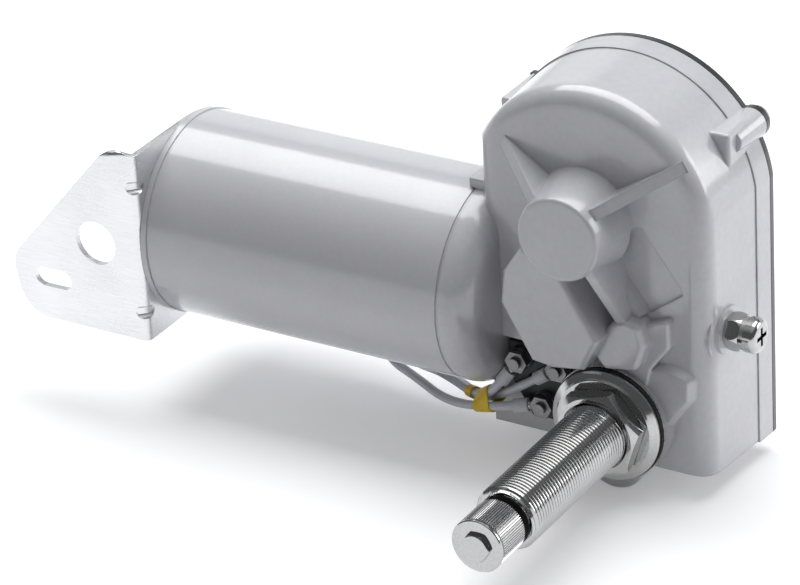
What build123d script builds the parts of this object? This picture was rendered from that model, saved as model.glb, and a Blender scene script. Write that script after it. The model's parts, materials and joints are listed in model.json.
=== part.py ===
from build123d import *
import math
import os

# Wiper motor with a D-shaped gear housing, in millimetres.
# The origin is on the output spindle's axis, in the plane of the rear bracket's front face.
# +Z is up, the spindle points to the front along -Y, and the motor lies to the left along -X.

# Output spindle and its threaded sleeve
SLEEVE_R = 11.0
SLEEVE_SHANK_R = 10.5
SLEEVE_FRONT_Y = -51.0
SLEEVE_BACK_Y = 36.0
SLEEVE_BORE_R = 8.0
SLEEVE_END_R = 9.9
SLEEVE_END_LENGTH = 1.8
SHAFT_R = 6.0
BUSH_LENGTH = 14.0
SEAL_THICKNESS = 2.0
DRIVER_R = 8.9
DRIVER_FRONT_Y = -68.0
DRIVER_LENGTH = 14.6
CAP_HEX = 8.6
CAP_HEIGHT = 1.5
CAP_SHANK_R = 2.5
CAP_SHANK = 11.0

# Washers and nut stored on the sleeve
CLAMP_Y = 14.0
DISH_R = 19.2
DISH_DEPTH = 1.8
DISH_SHEET = 1.2
NUT_HEX = 27.0
NUT_HEIGHT = 6.0
NUT_TURN = 12.0
RUBBER_R = 19.6
RUBBER_THICKNESS = 1.2
BACK_RUBBER_R = 19.2
BACK_RUBBER_THICKNESS = 0.6
FLAT_WASHER_R = 19.8
FLAT_WASHER_THICKNESS = 0.8

# Gear housing
BOX_BACK_Y = 61.5
BOX_FRONT_Y = 22.0
DOME_X = -10.0
DOME_Z = 67.8
DOME_R = 45.0
WALL_RIGHT_X = 34.6
WALL_LEFT_X = -50.0
BOX_BOTTOM_Z = -17.7
CASTING_DRAFT = 2.8
CASTING_WALL = 3.0
FRONT_EDGE_R = 6.5
RIM_DEPTH = 8.5
RIM_STEP = 0.4

# Spindle boss of the housing
BOSS_R = 20.0
FLANK_Y = 19.0
FOOT_LOBE_R = 10.8
FOOT_LOBE_Z = -14.2
BOSS_TUBE_R = 15.0
BOSS_TUBE_BACK_Y = 34.5

# Shallow pocket in the front wall, between the stub and the spindle boss
POCKET = ((-4.7, 52.9), (7.5, 68.2), (10.0, 68.7), (23.5, 50.8), (24.4, 48.2), (12.6, 39.5),
          (4.1, 48.5))
POCKET_DEPTH = 1.2

# Front plateau over the worm chamber
PLATEAU_Y = 7.5
PLATEAU_WALL = 3.0
PLATEAU_EDGE_R = 1.8

# Worm wheel and its stub boss
WHEEL_X = -10.0
WHEEL_Z = 68.0
STUB_R = 14.0
STUB_DRAFT = 11.0
STUB_FRONT_Y = 4.5
AXLE_R = 4.0
AXLE_FRONT_Y = 10.0
AXLE_BACK_Y = 42.4
GEAR_MODULE = 1.25
WHEEL_TEETH = 47
WHEEL_FACE = 9.0
WHEEL_WEB = 4.0
WHEEL_HUB_R = 13.0
CLIP_THICKNESS = 1.0
CLIP_WIDTH = 1.6
PARK_DISC_R = 22.6
PARK_DISC_BORE_R = 16.4
PARK_DISC_THICKNESS = 1.4

# Motor: its axis is the worm's axis
MOTOR_Y = 34.6
MOTOR_Z = 32.4
CAN_R = 34.5
CAN_WALL = 2.0
SEAM_X = -52.3
CAN_REAR_X = -162.9
FLANGE_X = -41.0
FLANGE_EDGE_R = 9.5
SEAL_RING = 0.7
REAR_CAP_RIM = 2.1
REAR_CAP_R = 34.9
BELL_WALL = 3.2
BELL_DEPTH = 6.8
MOTOR_SHAFT_R = 4.0
WORM_TURNS = 7
CORE_R = 21.0
CORE_LENGTH = 46.0
CORE_MID_X = -107.0
CORE_SLOTS = 12
AIR_GAP = 0.7
MAGNET_LENGTH = 56.0
MAGNET_SPAN = 124.0
COMMUTATOR_R = 11.0
COMMUTATOR_LENGTH = 13.0
COMMUTATOR_X = -64.5

# Linkage between wheel and spindle
SWEEP = 110.0
ROCKER_R = 11.0
LINK_EYE_R = 4.4
CRANK_EYE_R = 6.2
CRANK_PIN_R = 3.0
ROCKER_PIN_R = 2.2
ROCKER_FRONT_Y = 37.0
ROD_Y = 43.0
ROD_THICKNESS = 4.0
LINK_GAP = 0.4

# Rear bracket, folded from sheet
BRACKET_SHEET = 2.0
BRACKET_TOP_Z = 66.6
BRACKET_BOTTOM_Z = -1.5
BRACKET_TIP_X = -217.3
BRACKET_FLANGE_R = 34.0
BRACKET_BEND_R = 2.4
BRACKET_HOLE_R = 7.75
BRACKET_HOLE_X = -183.3
BRACKET_HOLE_Z = 31.5
SLOT_X = -202.3
SLOT_Z = 14.1
SLOT_LENGTH = 14.6
SLOT_WIDTH = 6.8
GUSSET_Z = (9.0, 55.0)
GUSSET_LEG = 6.0
GUSSET_WIDTH = 5.0

# Back cover and its fixings
GASKET = 0.5
COVER_THICKNESS = 2.0
COVER_PANEL_RISE = 1.6
COVER_PANEL_INSET = 9.0
SCREW_R = 2.0
SCREW_HEAD_R = 4.6
SCREW_HEAD_H = 2.6
SCREW_LENGTH = 14.0
EAR_FRONT_Y = 41.8
EAR_BOSS_R = 5.4
EAR_BOSS_FRONT_Y = 47.0
EAR_SCREW_X = 28.8
EAR_SCREW_Z = 91.2
LEFT_SCREW_X = -45.0
LEFT_SCREW_Z = 88.4
FOOT_SCREW_INSET = 6.4

# End-play adjuster on the right wall
LOCK_NUT_HEX = 11.0
LOCK_NUT_HEIGHT = 5.2
SPRING_WASHER_R = 5.4
SPRING_WASHER_THICKNESS = 1.6
THRUST_SCREW_R = 3.5
THRUST_HEAD_R = 5.8
THRUST_HEAD_H = 4.2
THRUST_PAD_R = 3.0

# Terminals in the recess under the worm chamber
RECESS_Y = 27.0
RECESS_TOP_Z = 19.0
RECESS_RIGHT_X = -14.0
TERMINALS = ((-35.6, 11.5), (-20.9, 11.7), (-27.0, -3.0))
TERMINAL_PLATE = 3.0
STUD_R = 2.0
STUD_FRONT_Y = 18.0
TERMINAL_NUT_HEX = 7.0
TERMINAL_NUT_HEIGHT = 3.0
LUG_THICKNESS = 0.8
LUG_R = 3.6

# Leads from the terminals to the boot under the can, and their bend points
LEAD_R = 1.5
LEAD_BENDS = (((-45.2, 18.8, -2.2), (-54.5, 24.3, -6.9), (-72.0, 36.4, -9.9)),
              ((-43.7, 21.9, -4.0), (-53.9, 27.4, -9.2), (-71.5, 39.6, -12.0)),
              ((-45.7, 17.0, -6.0), (-64.0, 22.3, -10.8), (-82.0, 33.0, -11.5)))
BOOT_FACE = (-107.5, 50.5, -4.0)
BOOT_AXIS = (0.66, -0.30, -0.69)
BOOT_R = 5.2
BOOT_LENGTH = 24.0
BOOT_SPREAD = 2.6
LAST_RUN = 14.0
LUG_NECK = 5.0
LUG_BARREL = 3.0
SLEEVE_TUBE_R = 2.3
SLEEVE_TUBE = 5.6

# Running and assembly clearances
RUN_CLEAR = 0.05
SEAT_GAP = 0.3


def at_y(y):
    """Sketch plane facing the front at depth y, with local axes +X and +Z."""
    return Plane((0, y, 0), x_dir=(1, 0, 0), z_dir=(0, -1, 0))


def at_x(x):
    """Sketch plane facing right at x, with local axes +Y and +Z."""
    return Plane((x, 0, 0), x_dir=(0, 1, 0), z_dir=(1, 0, 0))


def rod_y(radius, front, back, x=0.0, z=0.0):
    """Round bar along Y from front to back."""
    return Pos(x, (front + back) / 2, z) * Rot(90, 0, 0) * Cylinder(radius, back - front)


def tube_y(outer, inner, front, back, x=0.0, z=0.0):
    return rod_y(outer, front, back, x, z) - rod_y(inner, front - 1, back + 1, x, z)


def rod_x(radius, left, right, y=MOTOR_Y, z=MOTOR_Z):
    """Round bar along X from left to right, on the motor axis unless told otherwise."""
    return Pos((left + right) / 2, y, z) * Rot(0, 90, 0) * Cylinder(radius, right - left)


def tube_x(outer, inner, left, right, y=MOTOR_Y, z=MOTOR_Z):
    return rod_x(outer, left, right, y, z) - rod_x(inner, left - 1, right + 1, y, z)


def slab(x0, x1, y0, y1, z0, z1):
    """Block between two opposite corners."""
    return Pos((x0 + x1) / 2, (y0 + y1) / 2, (z0 + z1) / 2) * Box(x1 - x0, y1 - y0, z1 - z0)


def prism_y(points, front, back, draft=0.0):
    """Extrude a closed X-Z outline from back to front, narrowing by the draft angle."""
    face = at_y(back) * make_face(Polyline(*points, close=True))
    return extrude(face, back - front, taper=draft)


def hex_y(across, front, back, x=0.0, z=0.0):
    face = at_y(back) * Pos(x, z) * RegularPolygon(across / 2, 6, major_radius=False)
    return extrude(face, back - front)


def hex_x(across, left, right, y=MOTOR_Y, z=MOTOR_Z):
    face = at_x(left) * Pos(y, z) * RegularPolygon(across / 2, 6, major_radius=False)
    return extrude(face, right - left)


def joined(pieces):
    """Several separate solids of one node."""
    return Compound(children=list(pieces))


def draft_shift(depth):
    return depth * math.tan(math.radians(CASTING_DRAFT))


# Housing outline


def housing_profile(grow=0.0):
    """The D: a round dome over two upright walls and a flat foot, grown outwards by grow."""
    radius = DOME_R + grow
    right = WALL_RIGHT_X + grow
    left = WALL_LEFT_X - grow
    bottom = BOX_BOTTOM_Z - grow
    right_z = DOME_Z + math.sqrt(max(radius ** 2 - (right - DOME_X) ** 2, 0.01))
    left_z = DOME_Z + math.sqrt(max(radius ** 2 - (left - DOME_X) ** 2, 0.01))
    with BuildSketch() as profile:
        with BuildLine():
            Line((left, bottom), (right, bottom))
            Line((right, bottom), (right, right_z))
            ThreePointArc((right, right_z), (DOME_X, DOME_Z + radius), (left, left_z))
            Line((left, left_z), (left, bottom))
        make_face()
    return profile.sketch


def ear_outlines():
    """Blocks of the right and left screw ears, in X and Z."""
    x, z = EAR_SCREW_X, EAR_SCREW_Z
    right = [(x - 14, z - 11), (x - 9, z + 4.7), (x + 2.3, z + 4.7), (x + 2.3, z - 6.2),
             (x - 3, z - 11)]
    x, z = LEFT_SCREW_X, LEFT_SCREW_Z
    left = [(x + 14, z - 11), (x + 3, z - 11), (x - 5.2, z - 6), (x - 5.2, z + 4.9), (x + 9, z + 4.9)]
    return right, left


def screw_places():
    """Cover screw centres: two ears on the dome and two corners of the foot."""
    foot_z = BOX_BOTTOM_Z + FOOT_SCREW_INSET
    return [(EAR_SCREW_X, EAR_SCREW_Z), (LEFT_SCREW_X, LEFT_SCREW_Z),
            (WALL_RIGHT_X - FOOT_SCREW_INSET, foot_z), (WALL_LEFT_X + FOOT_SCREW_INSET, foot_z)]


def plateau_points(inset=0.0):
    """Plateau over the worm chamber, drawn in towards its middle by inset."""
    corners = [(-11.0, 54.0), (1.8, 33.0), (-4.0, 21.6), (-15.0, 19.9), (-22.8, 20.9),
               (-33.6, 39.6), (-32.2, 51.0), (-25.0, 62.0)]
    mid_x = sum(x for x, z in corners) / len(corners)
    mid_z = sum(z for x, z in corners) / len(corners)
    moved = []
    for x, z in corners:
        reach = math.hypot(x - mid_x, z - mid_z)
        share = (reach - inset) / reach
        moved.append((mid_x + (x - mid_x) * share, mid_z + (z - mid_z) * share))
    return moved


def crown_bridge():
    """Rounded lump that bridges the plateau, the rib from the stub and the spindle boss."""
    lump = rounded_prism([(-3.6, 24.0), (-3.6, 28.8), (-1.6, 31.8), (2.9, 37.5), (7.5, 39.2),
                          (12.5, 38.0), (14.6, 31.0), (11.4, 22.0), (0, 20)], BOX_FRONT_Y - 8,
                         BOX_FRONT_Y + 1, 0.0, 2.0, 1.9)
    leg = rounded_prism([(4.0, 40.5), (13.0, 36.9), (20.8, 40.0), (21.0, 30.0), (14.6, 21.6),
                         (12.0, 12.0), (2.0, 12.0)], BOX_FRONT_Y - 3.5, BOX_FRONT_Y + 1, 0.0,
                        1.2, 1.1)
    return lump + leg


def rounded_prism(points, front, back, draft, corner_r, edge_r):
    """Drafted prism with rounded corners and a rounded front edge."""
    face = make_face(Polyline(*points, close=True))
    face = fillet(face.vertices(), corner_r)
    body = extrude(at_y(back) * face, back - front, taper=draft)
    if edge_r == 0:
        return body
    return fillet(body.faces().sort_by(Axis.Y)[0].edges(), edge_r)


def bell_blank():
    """Round end bell that closes the can, rounded on its gearbox side."""
    disc = rod_x(CAN_R, SEAM_X, FLANGE_X)
    rim = disc.edges().filter_by(GeomType.CIRCLE).sort_by(Axis.X)[-1]
    return fillet(rim, FLANGE_EDGE_R)


def bell_hollow():
    """Space inside the bell for the brush gear, round at its closed end."""
    room = rod_x(CAN_R - BELL_WALL, SEAM_X - 1, SEAM_X + BELL_DEPTH)
    rim = room.edges().filter_by(GeomType.CIRCLE).sort_by(Axis.X)[-1]
    return fillet(rim, FLANGE_EDGE_R - BELL_WALL)


def bell_lug():
    """Square ledge between the bell and the housing's left wall."""
    ledge = slab(WALL_LEFT_X - 4.5, WALL_LEFT_X + CASTING_WALL, BOX_FRONT_Y + 6, BOX_BACK_Y - 4,
                 MOTOR_Z + CAN_R - 8, MOTOR_Z + CAN_R + 3)
    return ledge - rod_x(REAR_CAP_R, SEAM_X - 5, SEAM_X)


def outer_box():
    """Drafted D-shaped block with its rounded front edge and the proud rim at the back."""
    depth = BOX_BACK_Y - BOX_FRONT_Y
    box = extrude(at_y(BOX_BACK_Y) * housing_profile(), depth, taper=CASTING_DRAFT)
    front = box.faces().sort_by(Axis.Y)[0]
    low = front.edges().sort_by(Axis.Z)[0]
    rounded = [edge for edge in front.edges() if edge.center().Z > low.center().Z + 1]
    box = fillet(rounded, FRONT_EDGE_R)
    rim = extrude(at_y(BOX_BACK_Y) * housing_profile(RIM_STEP), RIM_DEPTH, taper=CASTING_DRAFT)
    return box + rim


def inner_box():
    """Space inside the housing, leaving the walls, the front wall and the terminal recess."""
    depth = BOX_BACK_Y - BOX_FRONT_Y - CASTING_WALL
    cavity = extrude(at_y(BOX_BACK_Y) * housing_profile(-CASTING_WALL), depth,
                     taper=CASTING_DRAFT)
    return cavity - slab(WALL_LEFT_X - 5, RECESS_RIGHT_X + CASTING_WALL, BOX_FRONT_Y - 1,
                         RECESS_Y + CASTING_WALL, BOX_BOTTOM_Z - 5, RECESS_TOP_Z + CASTING_WALL)


def gear_housing():
    """Die-cast housing: drafted D-shaped box, bosses, ribs, ears and motor bell."""
    box = outer_box()
    box -= slab(WALL_LEFT_X - 5, RECESS_RIGHT_X, BOX_FRONT_Y - 1, RECESS_Y,
                BOX_BOTTOM_Z - 5, RECESS_TOP_Z)
    cavity = inner_box()
    box -= cavity
    bell = bell_blank()
    box += bell + bell_lug()
    for points, (x, z) in zip(ear_outlines(), screw_places()):
        ear = rounded_prism(points, EAR_FRONT_Y, BOX_BACK_Y, 0.0, 1.4, 1.2)
        boss = extrude(at_y(BOX_BACK_Y) * Pos(x, z) * Circle(EAR_BOSS_R),
                       BOX_BACK_Y - EAR_BOSS_FRONT_Y, taper=6)
        post = rod_y(4.6, BOX_BACK_Y - SCREW_LENGTH - 4, BOX_BACK_Y, x, z)
        box += (ear + boss - cavity) + (post & (ear + boss))
    within = extrude(at_y(BOX_BACK_Y) * housing_profile(), SCREW_LENGTH + 4, taper=CASTING_DRAFT)
    for x, z in screw_places()[2:]:
        post = rod_y(4.6, BOX_BACK_Y - SCREW_LENGTH - 4, BOX_BACK_Y, x, z)
        side = math.copysign(6, x)
        web = slab(min(x, x + side), max(x, x + side), BOX_BACK_Y - SCREW_LENGTH - 4, BOX_BACK_Y,
                   z - 6, z)
        box += (post + web) & within

    plateau = prism_y(plateau_points(), PLATEAU_Y, BOX_FRONT_Y + 1, 1.0)
    face = plateau.faces().sort_by(Axis.Y)[0]
    plateau = fillet(face.edges(), PLATEAU_EDGE_R)
    chamber = prism_y(plateau_points(PLATEAU_WALL + 1), PLATEAU_Y + PLATEAU_WALL,
                      BOX_FRONT_Y + CASTING_WALL + 1)
    box = box + plateau - chamber

    stub_depth = BOX_FRONT_Y + 1 - STUB_FRONT_Y
    stub_base_r = STUB_R + stub_depth * math.tan(math.radians(STUB_DRAFT))
    stub = extrude(at_y(BOX_FRONT_Y + 1) * Pos(WHEEL_X, WHEEL_Z) * Circle(stub_base_r),
                   stub_depth, taper=STUB_DRAFT)
    stub = fillet(stub.faces().sort_by(Axis.Y)[0].edges(), 1.2)
    box += stub + rod_y(AXLE_R + 5, BOX_FRONT_Y, hub_face_y(), WHEEL_X, WHEEL_Z)
    box -= prism_y(POCKET, BOX_FRONT_Y - 1, BOX_FRONT_Y + POCKET_DEPTH)
    box += gusset((WHEEL_X - 10, WHEEL_Z + 9), (-40.5, 91.0), 4.0)
    box += gusset((WHEEL_X + 12, WHEEL_Z + 10), (25.5, 92.4), 4.0)
    box += gusset((0.6, 58.0), (12.0, 18.7), 3.6, STUB_FRONT_Y + 1.0)
    box += prism_y([(1.5, 51.0), (5.5, 50.0), (13.2, 39.6), (8.0, 32.0), (2.5, 38.0)],
                   BOX_FRONT_Y - 3.0, BOX_FRONT_Y + POCKET_DEPTH + 1, 20.0)

    box += extrude(at_y(BOX_FRONT_Y + 1) * Circle(BOSS_R),
                   BOX_FRONT_Y + 1 - boss_face_y(), taper=10.0)
    lobe = rod_y(FOOT_LOBE_R, boss_face_y(), BOX_BACK_Y, 0, FOOT_LOBE_Z)
    lobe = fillet(lobe.faces().sort_by(Axis.Y)[0].edges(), 1.5)
    box += lobe - cavity
    flank = rounded_prism([(4, 22.4), (20.0, 23.4), (29.0, 21.6), (28.8, 12.0), (17.0, -4.3),
                           (2, -8)], FLANK_Y, BOX_FRONT_Y + 1, 30.0, 4.0, 0.0)
    box += flank + crown_bridge()
    box += rod_y(BOSS_TUBE_R, BOX_FRONT_Y, BOSS_TUBE_BACK_Y)
    box += adjuster_land()
    box -= rod_y(DISH_R + 0.6, boss_face_y() - 12, boss_face_y())

    box -= rod_y(SLEEVE_SHANK_R, boss_face_y() - 20, BOSS_TUBE_BACK_Y + 1)
    box -= rod_y(AXLE_R, AXLE_FRONT_Y, hub_face_y() + 1, WHEEL_X, WHEEL_Z)
    box -= bell_hollow()
    box += tube_x(bush_r() + 3, bush_r(), SEAM_X + 3, FLANGE_X + 3)
    box += tube_x(bush_r() + 3, bush_r(), WORM_BUSH_X, wall_right_at(MOTOR_Y) - 1)
    box -= rod_x(bush_r(), SEAM_X - 1, FLANGE_X + 4)
    box -= rod_y(wheel_tip_r() + 1.2, wheel_front_y() - 1, wheel_back_y() + 1, WHEEL_X, WHEEL_Z) & bell
    box -= rod_x(bush_r(), WORM_BUSH_X - 1, WORM_BUSH_X + WORM_BUSH_LENGTH)
    box -= rod_x(THRUST_SCREW_R, WORM_BUSH_X + WORM_BUSH_LENGTH - 1, WALL_RIGHT_X + 5)
    for x, z in screw_places():
        box -= rod_y(SCREW_R, BOX_BACK_Y - SCREW_LENGTH, BOX_BACK_Y + 1, x, z)
    for y, z in tie_bolt_places():
        box += rod_x(4.2, SEAM_X, SEAM_X + TIE_BOLT_GRIP + 2, y, z) & bell
        box -= rod_x(TIE_BOLT_R, SEAM_X - 1, SEAM_X + TIE_BOLT_GRIP, y, z)
    for number in range(3):
        box -= lead_cover(number, SLEEVE_TUBE_R + SEAT_GAP)
    for x, z in TERMINALS:
        box -= rod_y(STUD_R, RECESS_Y - 1, RECESS_Y + CASTING_WALL - 1, x, z)
    return box


WORM_BUSH_X = 13.0
WORM_BUSH_LENGTH = 11.0
TIE_BOLT_GRIP = 5.0


def hub_face_y():
    """Inner face of the stub boss, which the front thrust washer runs on."""
    return wheel_front_y() - 1.3


def boss_face_y():
    """Front face of the spindle boss, which the rubber washer lies on."""
    return CLAMP_Y + DISH_SHEET + RUBBER_THICKNESS + FLAT_WASHER_THICKNESS + BACK_RUBBER_THICKNESS


def gusset(start, end, width, start_y=None):
    """Thin web from high on a boss down to the front wall."""
    top_y = STUB_FRONT_Y + 3.5 if start_y is None else start_y
    dx, dz = end[0] - start[0], end[1] - start[1]
    length = math.hypot(dx, dz)
    plane = Plane((start[0], 0, start[1]), x_dir=(dx, 0, dz), z_dir=(dz, 0, -dx))
    deep = BOX_FRONT_Y + 1.5
    near = plane.to_local_coords(Vector(start[0], top_y, start[1])).Y
    far = plane.to_local_coords(Vector(start[0], deep, start[1])).Y
    face = plane * make_face(Polyline((-4, far), (-4, near), (0, near), (length, far), close=True))
    return extrude(face, width / 2, both=True)


def bush_r():
    return MOTOR_SHAFT_R + 4.0


# Back cover and its seal


def cover_outline(grow=0.0):
    """Back outline with its ears, less the part that the motor flange fills."""
    outline = housing_profile(RIM_STEP + grow)
    for points, (x, z) in zip(ear_outlines(), screw_places()):
        outline += make_face(Polyline(*points, close=True))
        outline += Pos(x, z) * Circle(EAR_BOSS_R)
    return outline + Pos(0, FOOT_LOBE_Z) * Circle(FOOT_LOBE_R)


def motor_notch(clear):
    """Space of the motor bell behind the housing, with a clearance."""
    return rod_x(CAN_R + clear, SEAM_X - 2, FLANGE_X + clear)


def housing_gasket():
    """Flat seal between housing and cover."""
    sheet = extrude(at_y(BOX_BACK_Y + GASKET) * cover_outline(), GASKET)
    inside = extrude(at_y(BOX_BACK_Y + GASKET + 1) * housing_profile(-CASTING_WALL), GASKET + 2)
    posts = [rod_y(4.6, BOX_BACK_Y, BOX_BACK_Y + GASKET, x, z) for x, z in screw_places()]
    outer = extrude(at_y(BOX_BACK_Y + GASKET) * cover_outline(), GASKET)
    sheet -= inside
    for post in posts:
        sheet += post & outer
    for x, z in screw_places():
        sheet -= rod_y(SCREW_R + SEAT_GAP, BOX_BACK_Y - 1, BOX_BACK_Y + GASKET + 1, x, z)
    return sheet - motor_notch(SEAT_GAP)


def back_cover():
    """Cast back cover with a raised panel, a rib cross and screw lands."""
    front = BOX_BACK_Y + GASKET
    back = front + COVER_THICKNESS
    plate = extrude(at_y(back) * cover_outline(), COVER_THICKNESS)
    panel = extrude(at_y(back) * housing_profile(-COVER_PANEL_INSET), -COVER_PANEL_RISE, taper=30)
    plate += panel
    for x, z, radius in ((0, 0, 12.5), (WHEEL_X, WHEEL_Z, 13.0)):
        plate += rod_y(radius, back, back + COVER_PANEL_RISE + 1.0, x, z)
    plate -= motor_notch(SEAT_GAP)
    for x, z in screw_places():
        plate -= rod_y(SCREW_R + SEAT_GAP, front - 1, back + 1, x, z)
        plate -= rod_y(SCREW_HEAD_R + 1, back, back + 8, x, z)
    return plate


def cover_screws():
    back = BOX_BACK_Y + GASKET + COVER_THICKNESS
    screws = []
    for x, z in screw_places():
        head = rod_y(SCREW_HEAD_R, back, back + SCREW_HEAD_H, x, z)
        head = fillet(head.edges().sort_by(Axis.Y)[-1], 1.2)
        shank = rod_y(SCREW_R, BOX_BACK_Y - SCREW_LENGTH, back, x, z)
        cross = slab(x - 2.6, x + 2.6, back + 1.4, back + 4, z - 0.5, z + 0.5)
        cross += slab(x - 0.5, x + 0.5, back + 1.4, back + 4, z - 2.6, z + 2.6)
        screws.append(head + shank - cross)
    return joined(screws)


# Motor


def motor_can():
    """Drawn steel tube, open at both ends."""
    return tube_x(CAN_R, CAN_R - CAN_WALL, CAN_REAR_X, SEAM_X - SEAL_RING) - boot_bar(BOOT_R, -1, BOOT_LENGTH)


def boot_plane():
    """Plane of the lead boot's face, looking along the arriving leads."""
    return Plane(origin=BOOT_FACE, x_dir=(0, 1, 0), z_dir=BOOT_AXIS)


def boot_bar(radius, near, far):
    """Round bar along the boot's axis, from near to far behind its face."""
    face = boot_plane().offset(-far) * Circle(radius)
    return extrude(face, far - near)


def lead_boot():
    """Angled rubber boot where the leads enter the can."""
    bar = boot_bar(BOOT_R, 0, BOOT_LENGTH)
    bar = chamfer(bar.edges().filter_by(GeomType.CIRCLE), 0.6)
    return bar - rod_x(CAN_R - CAN_WALL + SEAT_GAP, CAN_REAR_X, SEAM_X)


def can_seal_ring():
    """Thin dark seal in the joint between can and housing."""
    return tube_x(CAN_R - 0.3, CAN_R - CAN_WALL - 1, SEAM_X - SEAL_RING, SEAM_X)


def rear_end_cap():
    """Pressed end plate with a bearing cup, its rim showing as a narrow ring."""
    rim = rod_x(REAR_CAP_R, CAN_REAR_X - REAR_CAP_RIM, CAN_REAR_X)
    spigot = tube_x(CAN_R - CAN_WALL, CAN_R - CAN_WALL - 2.0, CAN_REAR_X, CAN_REAR_X + 3)
    cup = rod_x(bush_r() + 2.0, CAN_REAR_X, CAN_REAR_X + 9)
    cap = rim + spigot + cup
    cap -= rod_x(bush_r(), CAN_REAR_X + 0.6, CAN_REAR_X + 12)
    for y, z in tie_bolt_places():
        cap -= rod_x(TIE_BOLT_R, CAN_REAR_X - 5, CAN_REAR_X + 5, y, z)
    return cap


TIE_BOLT_R = 2.0
TIE_BOLT_CIRCLE = CAN_R - CAN_WALL - 4.3
TIE_BOLT_ANGLES = (62.0, 242.0)


def tie_bolt_places():
    """Two long bolts that run beside the magnets, in their gaps."""
    return [(MOTOR_Y + TIE_BOLT_CIRCLE * math.cos(math.radians(a)),
             MOTOR_Z + TIE_BOLT_CIRCLE * math.sin(math.radians(a))) for a in TIE_BOLT_ANGLES]


def tie_bolts():
    """Bolts from the bracket through the can into the housing flange, with hex heads."""
    left = CAN_REAR_X - REAR_CAP_RIM - BRACKET_SHEET
    bolts = []
    for y, z in tie_bolt_places():
        shank = rod_x(TIE_BOLT_R, left, SEAM_X + TIE_BOLT_GRIP, y, z)
        head = hex_x(7.0, left - 3.0, left, y, z)
        bolts.append(shank + head)
    return joined(bolts)


def field_magnets():
    """Two curved ferrite magnets glued inside the can."""
    outer, inner = CAN_R - CAN_WALL, CORE_R + AIR_GAP
    left = CORE_MID_X - MAGNET_LENGTH / 2
    ring = tube_x(outer, inner, left, left + MAGNET_LENGTH)
    magnets = []
    for middle in (TIE_BOLT_ANGLES[0] - 90, TIE_BOLT_ANGLES[0] + 90):
        reach = CAN_R * 2
        half = math.radians(MAGNET_SPAN / 2)
        a = math.radians(middle)
        points = [(0, 0)]
        for turn in (-half, -half / 2, 0, half / 2, half):
            points.append((reach * math.cos(a + turn), reach * math.sin(a + turn)))
        wedge = extrude(at_x(left - 1) * Pos(MOTOR_Y, MOTOR_Z)
                        * make_face(Polyline(*points, close=True)), MAGNET_LENGTH + 2)
        magnets.append(ring & wedge)
    return joined(magnets)


BRUSH_PLATE = 2.4
BRUSH_WIDTH = 6.0
BRUSH_HEIGHT = 5.0
BRUSH_LENGTH = 10.0
BRUSH_ANGLES = (0.0, 180.0)
BRUSH_BOX_WALL = 0.8


def brush_plate_x():
    """Left face of the brush plate, which stands in the mouth of the can."""
    return SEAM_X - SEAL_RING - 0.6 - BRUSH_PLATE


def turned_x(shape, angle):
    """Turn a piece about the motor axis; at 0 it lies towards the back."""
    return Pos(0, MOTOR_Y, MOTOR_Z) * Rot(angle, 0, 0) * Pos(0, -MOTOR_Y, -MOTOR_Z) * shape


def brush_holder():
    """Moulded ring that carries the brush boxes."""
    left = brush_plate_x()
    ring = tube_x(CAN_R - CAN_WALL, COMMUTATOR_R + 2.5, left, left + BRUSH_PLATE)
    for y, z in tie_bolt_places():
        ring -= rod_x(TIE_BOLT_R + 0.8, left - 1, left + BRUSH_PLATE + 1, y, z)
    return ring


def brush_block(half_z, half_x, inner, outer):
    """Block beside the commutator on the back side, to be turned into place."""
    return slab(COMMUTATOR_X - half_x, COMMUTATOR_X + half_x, MOTOR_Y + inner, MOTOR_Y + outer,
                MOTOR_Z - half_z, MOTOR_Z + half_z)


def brush_boxes():
    """Brass guides for the brushes, each on a foot on the brush plate."""
    inner = COMMUTATOR_R + 3.0
    outer = inner + BRUSH_LENGTH
    wall = BRUSH_BOX_WALL + RUN_CLEAR
    boxes = []
    for angle in BRUSH_ANGLES:
        block = brush_block(BRUSH_WIDTH / 2 + wall, BRUSH_HEIGHT / 2 + wall, inner, outer)
        foot = slab(COMMUTATOR_X, brush_plate_x(), MOTOR_Y + inner, MOTOR_Y + outer,
                    MOTOR_Z - 2, MOTOR_Z + 2)
        block = block + foot
        block -= brush_block(BRUSH_WIDTH / 2 + RUN_CLEAR, BRUSH_HEIGHT / 2 + RUN_CLEAR,
                             inner - 1, outer + 1)
        boxes.append(turned_x(block, angle))
    return joined(boxes)


def carbon_brushes():
    brushes = []
    for angle in BRUSH_ANGLES:
        block = brush_block(BRUSH_WIDTH / 2, BRUSH_HEIGHT / 2, COMMUTATOR_R - 2,
                            COMMUTATOR_R + BRUSH_LENGTH)
        block -= rod_x(COMMUTATOR_R + RUN_CLEAR, COMMUTATOR_X - 20, COMMUTATOR_X + 20)
        brushes.append(turned_x(block, angle))
    return joined(brushes)


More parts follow.
